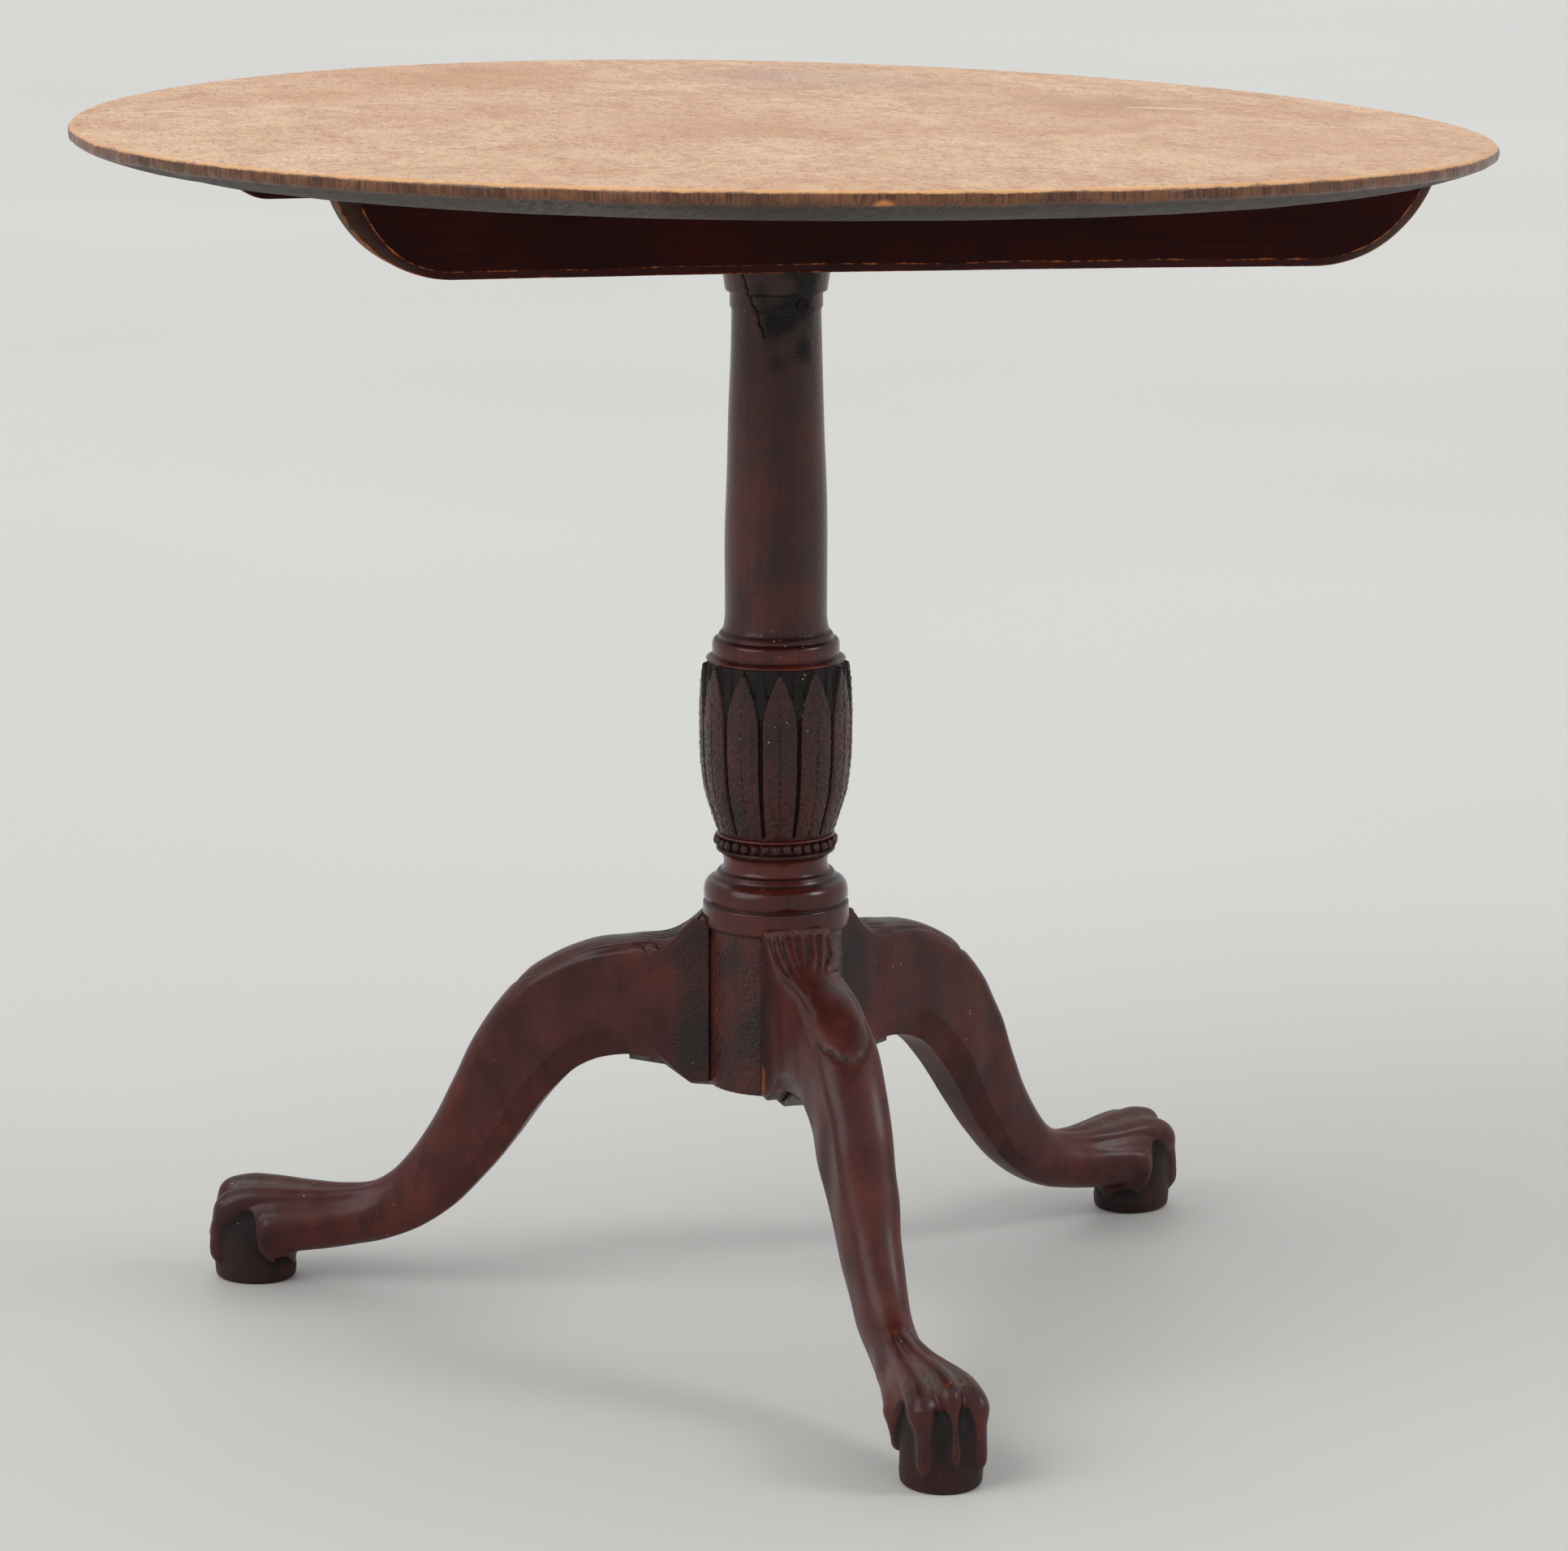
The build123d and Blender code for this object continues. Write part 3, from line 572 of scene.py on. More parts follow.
# %% One bearer
BEARER_INNER, BEARER_OUTER = 90.0, 118.0
CHAMFER = 5.0
# depth, left tip, ends of the straight lower edge, right tip, chamfer at the left and right tips
FRONT_BEARER = (55.0, -287.0, -218.0, 290.0, 365.0, 11.0, 9.0)
REAR_BEARER = (30.0, -306.0, -281.0, 300.0, 325.0, 6.0, 6.0)
# share of the way over the chamfer, how worn it is there
CHAMFER_WEAR = [(0, 0.9), (0.1, 0.75), (0.2, 0.2), (0.4, 0.05), (0.6, 0.05), (0.8, 0.15), (0.92, 0.6),
                (1, 0.9)]


def end_arc(run, high):
    """Radius of the arc of a swept end that is tangent to the lower edge and rises high over its
    run, and 46 angles along it, from the tip in; it never passes upright."""
    bend = (run**2 + high**2) / (2 * high)
    reach = np.arcsin(min(run / bend, 1)) if bend > high else pi / 2
    return bend, reach * np.linspace(1, 0, 46)


def bearer(name, side, high, left_tip, left_flat, right_flat, right_tip, left_cut, right_cut):
    """Section points (across, up) at every station. The lower edge follows an arc at each end and
    the upper edge follows the cupped top. The chamfer is cut back from the outer face by its
    width less the distance from the lower edge, which in an end is measured along the arc's
    radius, so it keeps its width round the sweep."""
    left_bend, left_turn = end_arc(left_flat - left_tip, high)
    right_bend, right_turn = end_arc(right_tip - right_flat, high)
    straight = np.linspace(left_flat, right_flat, 150)[1:-1]
    x = np.concatenate([left_flat - left_bend * np.sin(left_turn), straight,
                        (right_flat + right_bend * np.sin(right_turn))[::-1]])[:, None]
    low = np.concatenate([left_bend * (1 - np.cos(left_turn)), 0 * straight,
                          (right_bend * (1 - np.cos(right_turn)))[::-1]])
    low = np.minimum(low, high - 0.8)[:, None]
    past = np.maximum(np.maximum(left_flat - x, x - right_flat), 0)
    bend = np.where(x < 0, left_bend, right_bend)
    near_tip = np.clip(low / high, 0, 1)
    place = np.concatenate([x, 0 * x, 0 * x], 1)
    cut = CHAMFER + (np.where(x < 0, left_cut, right_cut) - CHAMFER) * soft_step(near_tip, 0, 0.5)
    cut = cut * (1 + 0.05 * waves(place, 45, 11 + side)[:, None])
    wide = BEARER_OUTER - BEARER_INNER
    soft = np.minimum(0.9, (high - low) * 0.2)
    out, up, worn, lower = [], [], [], []

    def point(y, z, mark=0.0, under=0.0):
        """One more point of the section, with how worn it is and how far it is end grain."""
        for column, value in zip((out, up, worn, lower), (y, z, mark, under)):
            column.append(value + 0 * x)

    def rise(share):
        """Height at which the distance from the lower edge is a share of the chamfer's width."""
        inner = (bend - share * cut) ** 2 - past**2
        height = np.where(inner > 0, bend - np.sqrt(np.maximum(inner, 0)), high)
        return np.clip(height, low, high - soft)

    def face_point(height, mark=0.0, under=0.0):
        """Point of the chamfer or the outer face above it, cut back by what the chamfer's width
        leaves over the distance from the lower edge."""
        apart = np.minimum(bend - np.hypot(past, bend - height), cut)
        point(wide - np.maximum(cut - apart, 0), height, mark, under)

    for t in (0, 0.3, 0.7, 1):
        point(wide - soft - t * (wide - 2 * soft), high)
    point(0, high - soft)
    for t in np.linspace(0.15, 0.85, 6):
        point(0, (1 - t) * (high - soft) + t * (low + soft))
    point(0, low + soft, 0.3, 0.3)
    point(soft, low, 0.3, 1)
    for t in np.linspace(0.1, 0.85, 7):
        point(soft + t * (wide - cut - soft), low, 0, 1)
    point(wide - cut - 1.1, low, 0.1, 1)
    for share, mark in CHAMFER_WEAR:
        face_point(rise(share), mark, 0.8 * (1 - share))
    arris = rise(1)
    for step, mark in ((0.8, 0.5), (1.8, 0.1), (3.0, 0)):
        face_point(np.clip(arris + step, low, high - soft), mark)
    for t in np.linspace(0.1, 1, 10):
        face_point(np.clip((1 - t) * (arris + 3) + t * (high - soft), low, high - soft))
    out, up, worn, lower = (np.concatenate(part, 1) for part in (out, up, worn, lower))
    bow = BEARER_BOW * (x / CUP_AT) ** 2
    top_drop = CUP * (x / CUP_AT) ** 2
    z = UNDERSIDE - high + up - bow - (top_drop - bow) * np.clip(up / high, 0, 1)
    y = side * (BEARER_INNER + out)
    grid = np.stack([x + 0 * y, y, z - SIDE_SLOPE * y], -1)
    swept = soft_step(near_tip, 0.01, 0.12)
    marks = {"worn": worn * (0.8 + 0.2 * swept), "end": lower * swept}
    if side < 0:
        grid, marks = grid[:, ::-1], {label: share[:, ::-1] for label, share in marks.items()}
    mesh = closed_mesh(name, leaned(grid), marks)
    mesh.materials.append(bearer_finish)
    return add_piece(name, mesh, "top", "bearer_wood", "bearer_" + name.split("_")[0])


bearer("front_bearer", -1, *FRONT_BEARER)
bearer("rear_bearer", 1, *REAR_BEARER)

# %% [markdown]
# ## The column
#
# The column was turned, so it is a profile spun round the Z axis, and then carved: leaves on
# the urn and a ring of beads below it. It is made as separate closed pieces (shaft, urn, bead
# ring, base) that meet inside its mouldings, which keeps each one light enough to be fine.

# %% Spun and carved surface
def spun_piece(name, line, columns, carve, *replaced):
    """A turned piece: each profile point (radius, height) goes round in even steps, and
    carve(angle, height) adds its relief to the radius and gives the marks."""
    angle = np.linspace(0, 2 * pi, columns, endpoint=False)[None, :]
    height = line[:, 1:] + 0 * angle
    relief, marks = carve(angle, height)
    mesh = closed_mesh(name, on_drum(np.maximum(line[:, :1] + relief, 0.2), angle, height), marks)
    mesh.materials.append(column_finish)
    return add_piece(name, mesh, "stand", "dark_wood", *replaced)


def turned_marks(height, grooves):
    """Dirt and painted shade in the grooves of a turned piece, each given as (height, width)."""
    return np.clip(sum(bell(height, at, wide) for at, wide in grooves), 0, 1) * 0.55


# %% The shaft, with its neck, crack and peg
SHAFT_FOOT = 416.0
PEG_HEIGHT, PEG_ANGLE = 613.5, radians(287.3)
PEG_RADIUS, CRACK_RADIUS = 27.0, 28.0      # of the neck's surface where the peg and the crack are
# height and angle (degrees from +X) of the crack, from its lower end up
CRACK = [(594, 239), (603, 233), (611, 227), (617, 221.5), (628, 218), (640, 214)]
shaft_line = turned_profile([
    (False, [(12, SHAFT_FOOT), (33.9, SHAFT_FOOT)]),
    (True, [(33.9, 417), (32.6, 418.2), (31.3, 420.4), (30.7, 424), (30.3, 440), (29.8, 491), (28.9, 520),
            (27.9, 550), (26.9, 579), (26.3, 606)]),
    (False, [(26.3, 609.4), (27.2, 610.4), (27.3, 611), (27.3, 618.6), (27.9, 619.4), (29.7, 619.8)]),
    (True, [(29.9, 620), (30.5, 624), (31.1, 628), (31.9, 633), (33.4, 639.5), (36, 646)]),
    (False, [(36, 646), (36, 646.8), (12, 646.8)])], 0.9, 0.35)


def carve_shaft(angle, height):
    """Crack: a narrow groove, 1.2 mm deep, along a line that wanders as it falls. Peg: a round
    sinking about it. A dark stain lies round the neck's front, and the surface wavers by 0.1."""
    around = on_drum(30, angle, height)
    line = np.radians(through(CRACK, height)[..., 0])
    wander = radians(1.0) * np.sin(height / 2.1) + radians(0.7) * np.sin(height / 0.9 + 1)
    off = np.abs(np.angle(np.exp(1j * (angle - line - wander)))) * CRACK_RADIUS
    crack = soft_step(height, 593, 600) * soft_step(-height, -643, -636) * np.exp(-(off / 0.6) ** 2)
    apart = np.hypot(np.angle(np.exp(1j * (angle - PEG_ANGLE))) * PEG_RADIUS, height - PEG_HEIGHT)
    ragged = waves(around, 3.0, 23)
    sink = soft_step(-apart, -4.6, -3.3)
    front = np.angle(np.exp(1j * (angle - radians(268))))
    stain = np.clip(soft_step(height, 562, 596) * soft_step(-height, -652, -640)
                    * soft_step(-np.abs(front), -0.95, -0.3)
                    * (0.7 + 0.25 * waves(around, 26, 21)), 0, 1)
    # Dark in the crack, round the peg's sinking and in the grooves: dirt and painted shade. The neck's stain
    # adds dirt.
    grime_and_shade = np.clip(crack * 1.8 + sink * (0.8 + 0.2 * ragged) + stain * 0.95 + turned_marks(
        height, [(609.8, 0.8), (619.4, 0.7), (418.5, 1.6), (645, 1.2)]), 0, 1)
    relief = 0.10 * waves(around, 60, 22) - 1.2 * crack - 0.95 * sink
    return relief, {"grime_and_shade": grime_and_shade, "worn": 0.28 * bell(height, 614.5, 3.5), "crazed": 0.3 + 0.4 * stain}


spun_piece("column_shaft", shaft_line, 288, carve_shaft, "column")

# %% [markdown]
# The urn's leaves were cut with gouges into the turned shape. Here their relief is worked out
# for every point from its height and its place across a leaf, so all twelve come from one rule.

# %% The urn with its leaves
URN_LEAVES = 12
FIRST_LEAF = radians(17)
HALF_LEAF = 11.3                 # half a leaf's pitch, measured on the urn
LEAF_SHOULDER, LEAF_TIP = 366, 400.6
urn_line = turned_profile([
    (False, [(12, 297.5), (33.5, 297.5), (34.3, 298.5)]),
    (True, [(34.6, 299), (38.4, 311), (41.7, 322), (44.0, 338), (44.9, 358), (44.6, 381), (43.4, 396),
            (42.9, 400)]),
    (False, [(42.2, 401.2), (40.8, 403.0), (38.5, 404.0), (37.0, 404.6)]),
    (True, [(37.1, 404.9), (37.35, 405.8), (37.6, 409), (37.35, 412.2), (36.6, 413.8)]),
    (False, [(35.6, 414.3), (34.2, 414.7), (33.9, 415.2), (33.9, 417), (12, 417)])], 0.72, 0.3)


def carve_urn(angle, height):
    """Leaves: full width up to their shoulders, then pointed. Between them a V groove; above
    the shoulders the ground is sunk, with the tips of a second row of leaves in it. Each leaf
    is slightly ridged along a fine vein, and old varnish has blistered all over it."""
    pitch = 2 * pi / URN_LEAVES
    across = (np.mod(angle - FIRST_LEAF + pitch / 2, pitch) - pitch / 2) / (pitch / 2) + 0 * height
    around = on_drum(44, angle, height)
    uneven = 0.25 * np.sin(3 * angle + 1) + 0.15 * np.sin(5 * angle)
    rise = np.clip((height + uneven - LEAF_SHOULDER) / (LEAF_TIP - LEAF_SHOULDER), 0, 1)
    half = 0.93 * (1 - rise ** 1.9)
    edge = (half - np.abs(across)) * HALF_LEAF
    leaf = soft_step(edge, -0.15, 0.75) * (rise < 1)
    vein = np.exp(-(across * HALF_LEAF / 0.45) ** 2) * (1 - rise)
    second = (1 - np.abs(across)) * HALF_LEAF
    back_half = 4.6 * np.clip(1 - ((height - 372) / 31) ** 2, 0, 1)
    back_edge = np.abs(second - back_half)
    back_leaf = soft_step(back_half - second, -0.3, 0.5) * (height > 372)
    inside = soft_step(height, 299, 302) * soft_step(-height, -402.5, -400.5)
    blister = waves(around, 2.6, 31) * 0.5 + waves(around, 4.2, 32) * 0.5
    depth = 2.6 - 1.0 * back_leaf + 0.7 * np.exp(-(back_edge / 0.5) ** 2) * (height > 376)
    relief = -depth * (1 - leaf) + leaf * (0.2 * blister - 0.35 * vein - 0.5 * across ** 2 + 0.25)
    relief = relief * inside
    # The sunk ground between the leaves, the veins and the low blisters are darkened: dirt and painted shade.
    ground = (1 - leaf) * (1.2 - 0.45 * np.exp(-(back_edge / 0.7) ** 2) * (height > 376))
    grime_and_shade = np.clip(ground + 0.5 * vein + 0.3 * soft_step(-blister, 0.0, 0.9), 0, 1) * inside
    grime_and_shade = np.clip(grime_and_shade + turned_marks(height, [(404.4, 0.8), (414.4, 0.9), (299, 1.5)]), 0, 1)
    worn = 0.55 * np.exp(-((edge - 0.9) / 0.5) ** 2) * leaf * inside + 0.25 * bell(height, 409, 2.0)
    return relief, {"grime_and_shade": grime_and_shade, "worn": worn, "crazed": inside * leaf}


spun_piece("column_urn", urn_line, 420, carve_urn, "column")


# %% [markdown]
# The beads below the urn were rolled out of a raised ring with a hollow tool, so no two are
# quite alike. One light globe is copied round, with its size and place varied slightly.

# %% The ring of beads
BEADS = 34
BEAD_RADIUS, BEAD_RING, BEAD_HEIGHT = 2.75, 34.3, 293.0


def bead_ring():
    """One small globe of rings and columns, copied round the column by turning its points."""
    up = np.linspace(-pi / 2, pi / 2, 9)[1:-1, None]
    round_bead = np.linspace(0, 2 * pi, 12, endpoint=False)[None, :]
    globe = np.stack([np.cos(up) * np.cos(round_bead), np.cos(up) * np.sin(round_bead),
                      np.sin(up) + 0 * round_bead], -1)
    clean = bmesh.new()
    for k, turn in enumerate(np.linspace(0, 2 * pi, BEADS, endpoint=False)):
        size = BEAD_RADIUS * (1 + 0.05 * sin(5.1 * k))
        x, y, z = (globe * size * np.array([1, 1, 1.08])).transpose(2, 0, 1)
        x = x + BEAD_RING + 0.25 * sin(3.7 * k)
        bead = np.stack([x * cos(turn) - y * sin(turn), x * sin(turn) + y * cos(turn),
                         z + BEAD_HEIGHT + 0.2 * sin(2.3 * k)], -1)
        whole = np.ones(bead.shape[:2])
        # The beads get a light share of the hollows' dark all over: dirt and painted shade.
        clean.from_mesh(closed_mesh("bead", bead, {"grime_and_shade": 0.3 * whole, "crazed": whole}))
    mesh = bpy.data.meshes.new("column_beads")
    clean.to_mesh(mesh)
    clean.free()
    mesh.materials.append(column_finish)
    return add_piece("column_beads", mesh, "stand", "dark_wood", "column")


bead_ring()

# %% [markdown]
# The lowest length of the turning has a hollow neck, a round moulding, a flat band and the
# plain drum that the legs are let into.

# %% The neck, band and base
base_line = turned_profile([
    (False, [(12, 145), (38.9, 145), (39.8, 145.9), (39.8, 241.4), (40.4, 242), (42.8, 242), (43.4, 242.8),
             (43.4, 255.2), (42.9, 256), (41.6, 256.4)]),
    (True, [(41.6, 256.6), (42.5, 258.2), (42.9, 261), (42.6, 264.5), (41.4, 267.6), (39.4, 269.6),
            (38.4, 270)]),
    (False, [(37.2, 270.4), (36.0, 271.6), (35.6, 272.6), (34.6, 273.6), (34.2, 274.6), (32.4, 275)]),
    (True, [(31.9, 275.3), (31.0, 277.6), (30.7, 280), (31.0, 282.6), (32.0, 285), (33.8, 286.4)]),
    (False, [(34.6, 287), (35.2, 287.4), (35.3, 288.8), (34.5, 289.4), (33.2, 289.9), (33.2, 295.6),
             (34.9, 296.4), (35.0, 297.4), (34.2, 298), (12, 298)])], 0.8, 0.3)


def carve_base(angle, height):
    """Slight wavering of the turned wood, with dirt and painted shade in the grooves between its
    mouldings, and blistered varnish on the plain drum between the legs."""
    around = on_drum(40, angle, height)
    grime_and_shade = turned_marks(height, [(256.4, 1.0), (242, 1.3), (271, 1.0), (274.6, 1.0), (286.5, 1.2),
                                  (289.8, 1.0), (295.9, 1.0), (291, 2.2)])
    drum = soft_step(-height, -242, -238)
    worn = 0.35 * bell(height, 243.6, 0.8) + 0.2 * bell(height, 262, 2.5)
    relief = 0.08 * waves(around, 50, 41) + drum * 0.10 * waves(around, 3.0, 42)
    return relief, {"grime_and_shade": grime_and_shade, "worn": worn, "crazed": drum * (0.5 + 0.2 * waves(around, 35, 43))}


spun_piece("column_base", base_line, 288, carve_base, "column")

# %% [markdown]
# ## The legs
#
# A leg is a line of cross-sections. Each runs from a point on the underside to a point on the
# crown, and the pair walks out along the knee, down the ankle, over the paw and down the round
# pad, so the section turns from upright to level on its way. The section itself changes from a
# flat-sided one with a rounded crown to an oval. Relief is then added along the outward
# direction: gouged flutes under the lip, a smooth oval on the knee, and five toes, joined by
# skin, whose lines follow the surface down over the pad.

# %% Stations of a leg
# crown radius and height, underside radius and height, half width
STATIONS = [
    (36, 246, 36, 146.5, 19.5), (46, 245.5, 46, 145.6, 19.5), (56, 238.5, 55, 150, 19.2),
    (65, 233.5, 63, 155.5, 19), (88, 229.5, 77, 158, 19), (115, 224, 93, 157.7, 19),
    (139, 213, 110, 153.6, 19), (157, 200.5, 123, 146, 19), (171, 185, 136, 133, 18.6),
    (187, 161, 148.5, 117.5, 18), (200, 134, 162, 98, 17), (215, 105.5, 180, 75.5, 15.6),
    (229, 85, 203, 52, 14.4), (242, 71.5, 224, 38, 14), (255, 64, 243, 30, 14.2), (273, 60.5, 262, 25, 16),
    (295, 60, 281, 21, 18.6), (315, 60.5, 296, 18.5, 20.6), (330, 59.5, 301.5, 17, 21.6),
    (341, 55.5, 303.5, 15, 22.4), (348, 48.5, 304, 13, 23), (352, 41, 304, 11.5, 23),
    (354, 33, 304, 10, 23), (354.3, 24, 304, 9, 23), (354.3, 16, 304, 8, 23), (354.2, 6, 304, 5.4, 23),
    (353.4, 1.6, 304.8, 1.4, 22.3), (351.5, 0, 306.6, 0, 20.6)]
stations = np.array(STATIONS, float)
crown_run = run_length(stations[:, :2])
PAW = crown_run[14]              # distance along the crown at which the paw begins
print("crown length", round(float(crown_run[-1]), 1), "paw begins", round(float(PAW), 1))
# crown rise over the sides, chamfer height, chamfer width, share of oval, all by distance
SECTION = [(0, 1, 1, 1, 0), (9, 1.2, 1, 1, 0), (22, 5, 1.2, 1.2, 0), (32, 7, 2, 2, 0), (50, 9, 10, 5, 0),
           (66, 9.2, 15, 7, 0), (130, 10, 16, 7.5, 0), (180, 10, 15, 7, 0.05), (240, 9, 12, 6, 0.3),
           (285, 9, 9, 5, 0.6), (310, 10, 8, 5, 0.85), (335, 12, 8, 5, 1), (600, 12, 8, 5, 1)]
# degrees from the crown at which a section has its points, closest at its three arrises
LEG_COLUMNS = np.radians(np.concatenate([
    np.arange(0, 57, 2.4), [58, 59, 60, 61, 62, 64, 67], np.arange(71, 125, 4),
    [126, 128, 129, 130, 131, 132, 134], np.arange(138, 151, 4),
    [153, 154, 155, 156, 157, 160, 165, 170, 175]]))


def section_half(turn, high, wide, rise, cut_high, cut_wide, oval):
    """Half of a cross-section by the angle from the crown (0) to the underside (180 degrees):
    a quarter oval down to the side, the flat side, the chamfer and the flat underside, mixed
    with a plain oval by its share. Gives (across, up)."""
    knots = np.radians([60, 130, 155, 180])
    crown = np.clip(turn / knots[0], 0, 1) * pi / 2
    side = np.clip((turn - knots[0]) / (knots[1] - knots[0]), 0, 1)
    cut = np.clip((turn - knots[1]) / (knots[2] - knots[1]), 0, 1)
    flat = np.clip((turn - knots[2]) / (knots[3] - knots[2]), 0, 1)
    across = wide * np.sin(crown) ** 0.9 - cut_wide * cut - (wide - cut_wide) * flat
    up = high - rise * (1 - np.cos(crown)) - (high - rise - cut_high) * side - cut_high * cut
    across = (1 - oval) * across + oval * wide * np.sin(turn)
    up = (1 - oval) * up + oval * high * (1 + np.cos(turn)) / 2
    return across, up


# %% [markdown]
# The knee and the paw were carved after the leg was sawn, and the carver worked from the crown
# outwards. The same order is kept here: every cut is a height over the crown's distance and the
# place across it, and each relief comes with the wear and dirt that such a shape collects, and
# with painted shade in its hollows.

# %% Relief of the knee and the paw
def knee_relief(run, across):
    """Lip: a thin raised bar. Flutes: gouges that start side by side under the lip and draw
    together as they fall. Folds: fine ridges beside the oval. Oval: a low smooth swelling with a
    sunk line round its lower end. Gives the relief and the shares of dirt with painted shade, wear
    and dust."""
    lip = soft_step(run, 6.0, 7.0) * soft_step(-run, -11.6, -10.9)
    lean = across + (run - 10) * 0.16 - 0.0012 * (run - 10) ** 2 + 0.7 * np.sin(0.55 * across + 1.2)
    spacing = 6.6 * (1 - 0.4 * soft_step(run, 14, 56))
    flute_share = soft_step(run, 11.0, 13.0) * soft_step(-run, -56 - 5 * np.sin(0.4 * across), -30)
    flutes = np.abs(np.sin(pi * (lean + 1.5) / spacing + 0.3 * np.sin(run / 7))) ** 0.75
    folds = soft_step(run, 30, 45) * soft_step(-run, -112, -70) * soft_step(np.abs(across), 11, 15)
    side_fold = np.sin((across - 0.06 * run) * 2 * pi / 4.6)
    centre, long, wide = 92.0, 42.0, 11.0 + 6.0 * soft_step(run, 50, 118)
    place = np.hypot((run - centre) / long, (across + 1.0) / wide) + 0.03 * np.sin(0.5 * across + 0.35 * run)
    oval = soft_step(-place, -1.0, -0.72)
    groove = np.exp(-((place - 1.06) / 0.07) ** 2) * soft_step(run, 92, 120)
    deep = 2.3 + 0.5 * np.sin(1.1 * across + 0.5)
    relief = 1.3 * lip - flute_share * deep * (1 - flutes) + 0.35 * folds * side_fold
    relief = relief + 0.8 * oval * soft_step(run, 52, 105) - 1.0 * groove
    # Dark in the flute bottoms, in the sunk line and in the troughs of the folds: dirt and painted shade.
    grime_and_shade = np.clip(flute_share * (1 - flutes) * 0.85 + groove * 0.6 + 0.3 * folds * (side_fold < -0.3), 0, 1)
    worn = np.clip(lip * 0.6 + flute_share * soft_step(flutes, 0.85, 1.0) * 0.4, 0, 1)
    dust = 0.55 * lip + 0.3 * flute_share * (1 - flutes) + 0.35 * groove
    return relief, grime_and_shade, worn, dust


# distance past the ankle, height of the toe, half angle it covers
MIDDLE_TOE = [(-8, 0, 11), (15, 1.8, 14), (40, 3.2, 17), (62, 4.4, 18), (80, 5.8, 18), (93, 6.8, 16),
              (102, 3.6, 10), (112, 3.0, 6.5), (118, 3.8, 7), (123, 4.6, 7.5), (127, 3.4, 6),
              (131, 1.0, 4), (135, 0, 2), (400, 0, 2)]
OUTER_TOE = [(-8, 0, 11), (15, 2.2, 14), (40, 3.6, 17), (62, 5.0, 19), (82, 6.8, 20), (97, 8.0, 18),
             (107, 5.4, 13), (118, 5.0, 12), (126, 5.2, 11.5), (131, 4.4, 10), (134, 2.6, 7), (137, 0, 4),
             (400, 0, 3)]
SIDE_TOE = [(-15, 0, 15), (10, 1.8, 17), (35, 3.0, 17), (55, 4.8, 17), (70, 6.8, 17), (82, 5.6, 15),
            (94, 4.4, 12), (103, 4.4, 11), (109, 3.4, 8.5), (113, 1.6, 5), (117, 0, 3), (400, 0, 3)]
# distance past the ankle, degrees from the crown of the toe's middle line
OUTER_TOE_WAY = [(-8, 24), (20, 32), (50, 39), (80, 42), (110, 42), (160, 40)]
SIDE_TOE_WAY = [(-15, 80), (30, 84), (55, 88), (70, 93), (82, 101), (95, 114), (110, 128), (130, 134)]


def toe(turn, run, middle, table):
    """A ridge along the paw: its height and width follow the table, and its section falls off as
    e to the power of minus the share of its half width to the power of 2.6."""
    height, half = through(table, run)[..., 0], np.radians(through(table, run)[..., 1])
    off = np.abs(turn - middle) / np.maximum(half, 0.01)
    return height * np.exp(-off ** 2.6)


def paw_relief(turn, run):
    """Toes: one in the middle, two outer and two at the sides. Web: the skin between them stands
    proud of the pad, is sunk along its middle in front, and ends in an arch between each pair,
    under which the pad is cut back. Gives the relief and the shares of dirt with painted shade,
    wear and dust. The pad is darkest just under the arches, where the shade is painted."""
    past = run - PAW
    degrees = np.degrees(turn)
    outer = np.radians(np.interp(past, *np.array(OUTER_TOE_WAY).T))
    side = np.radians(np.interp(past, *np.array(SIDE_TOE_WAY).T))
    raised = np.maximum.reduce([toe(turn, past, 0, MIDDLE_TOE), toe(turn, past, outer, OUTER_TOE),
                                toe(turn, past, side, SIDE_TOE)])
    from_front = (degrees / np.degrees(outer) - 0.5) / 0.5
    from_side = (degrees - np.degrees(outer)) / np.degrees(side - outer) * 2 - 1
    arch_front = 97 + 8 * from_front**2
    arch_side = 80 + 20 * from_side**2
    arch_back = 92 + 20 * ((degrees - 150) / 22) ** 2
    arch = np.where(turn < outer, arch_front, np.where(turn < side, arch_side, arch_back))
    sunk = 1.3 * bell(from_front, 0, 0.35) * (turn < outer)
    web = (2.7 - sunk) * soft_step(past, 10, 62) * soft_step(arch - past, 0, 3.0)
    web = web * soft_step(-degrees, -165, -130)
    under_arch = soft_step(past - arch, -1.5, 1.0) * np.exp(-np.clip(past - arch, 0, 99) / 16)
    shown = soft_step(past, 0, 25)
    low = soft_step(web + 0.9 - raised, 0, 1.2) * shown
    pad = soft_step(past - arch, -1.5, 1.0) * soft_step(-raised, -3.4, -2.0) * shown
    # The pad is darkened, most of all just under each arch: dirt and painted shade.
    grime_and_shade = np.clip(pad * (0.40 + 0.6 * under_arch) + 0.1 * low, 0, 1)
    dust = 0.8 * bell(from_front, 0, 0.3) * (turn < outer) * soft_step(past, 12, 45)
    dust = dust * soft_step(arch - past, 6, 14)
    worn = (0.5 * soft_step(raised, 2.6, 5.0) + 0.12 * soft_step(raised, 5.0, 7.0)) * shown
    relief = np.maximum(raised, web) - 1.4 * under_arch * shown * soft_step(-raised, -4, -1.5)
    return relief, grime_and_shade, worn, dust


# %% [markdown]
# One leg is worked out along +X and turned to its three places, as the legs were cut from one
# pattern. Only the front one has a torn edge, where it meets the drum.

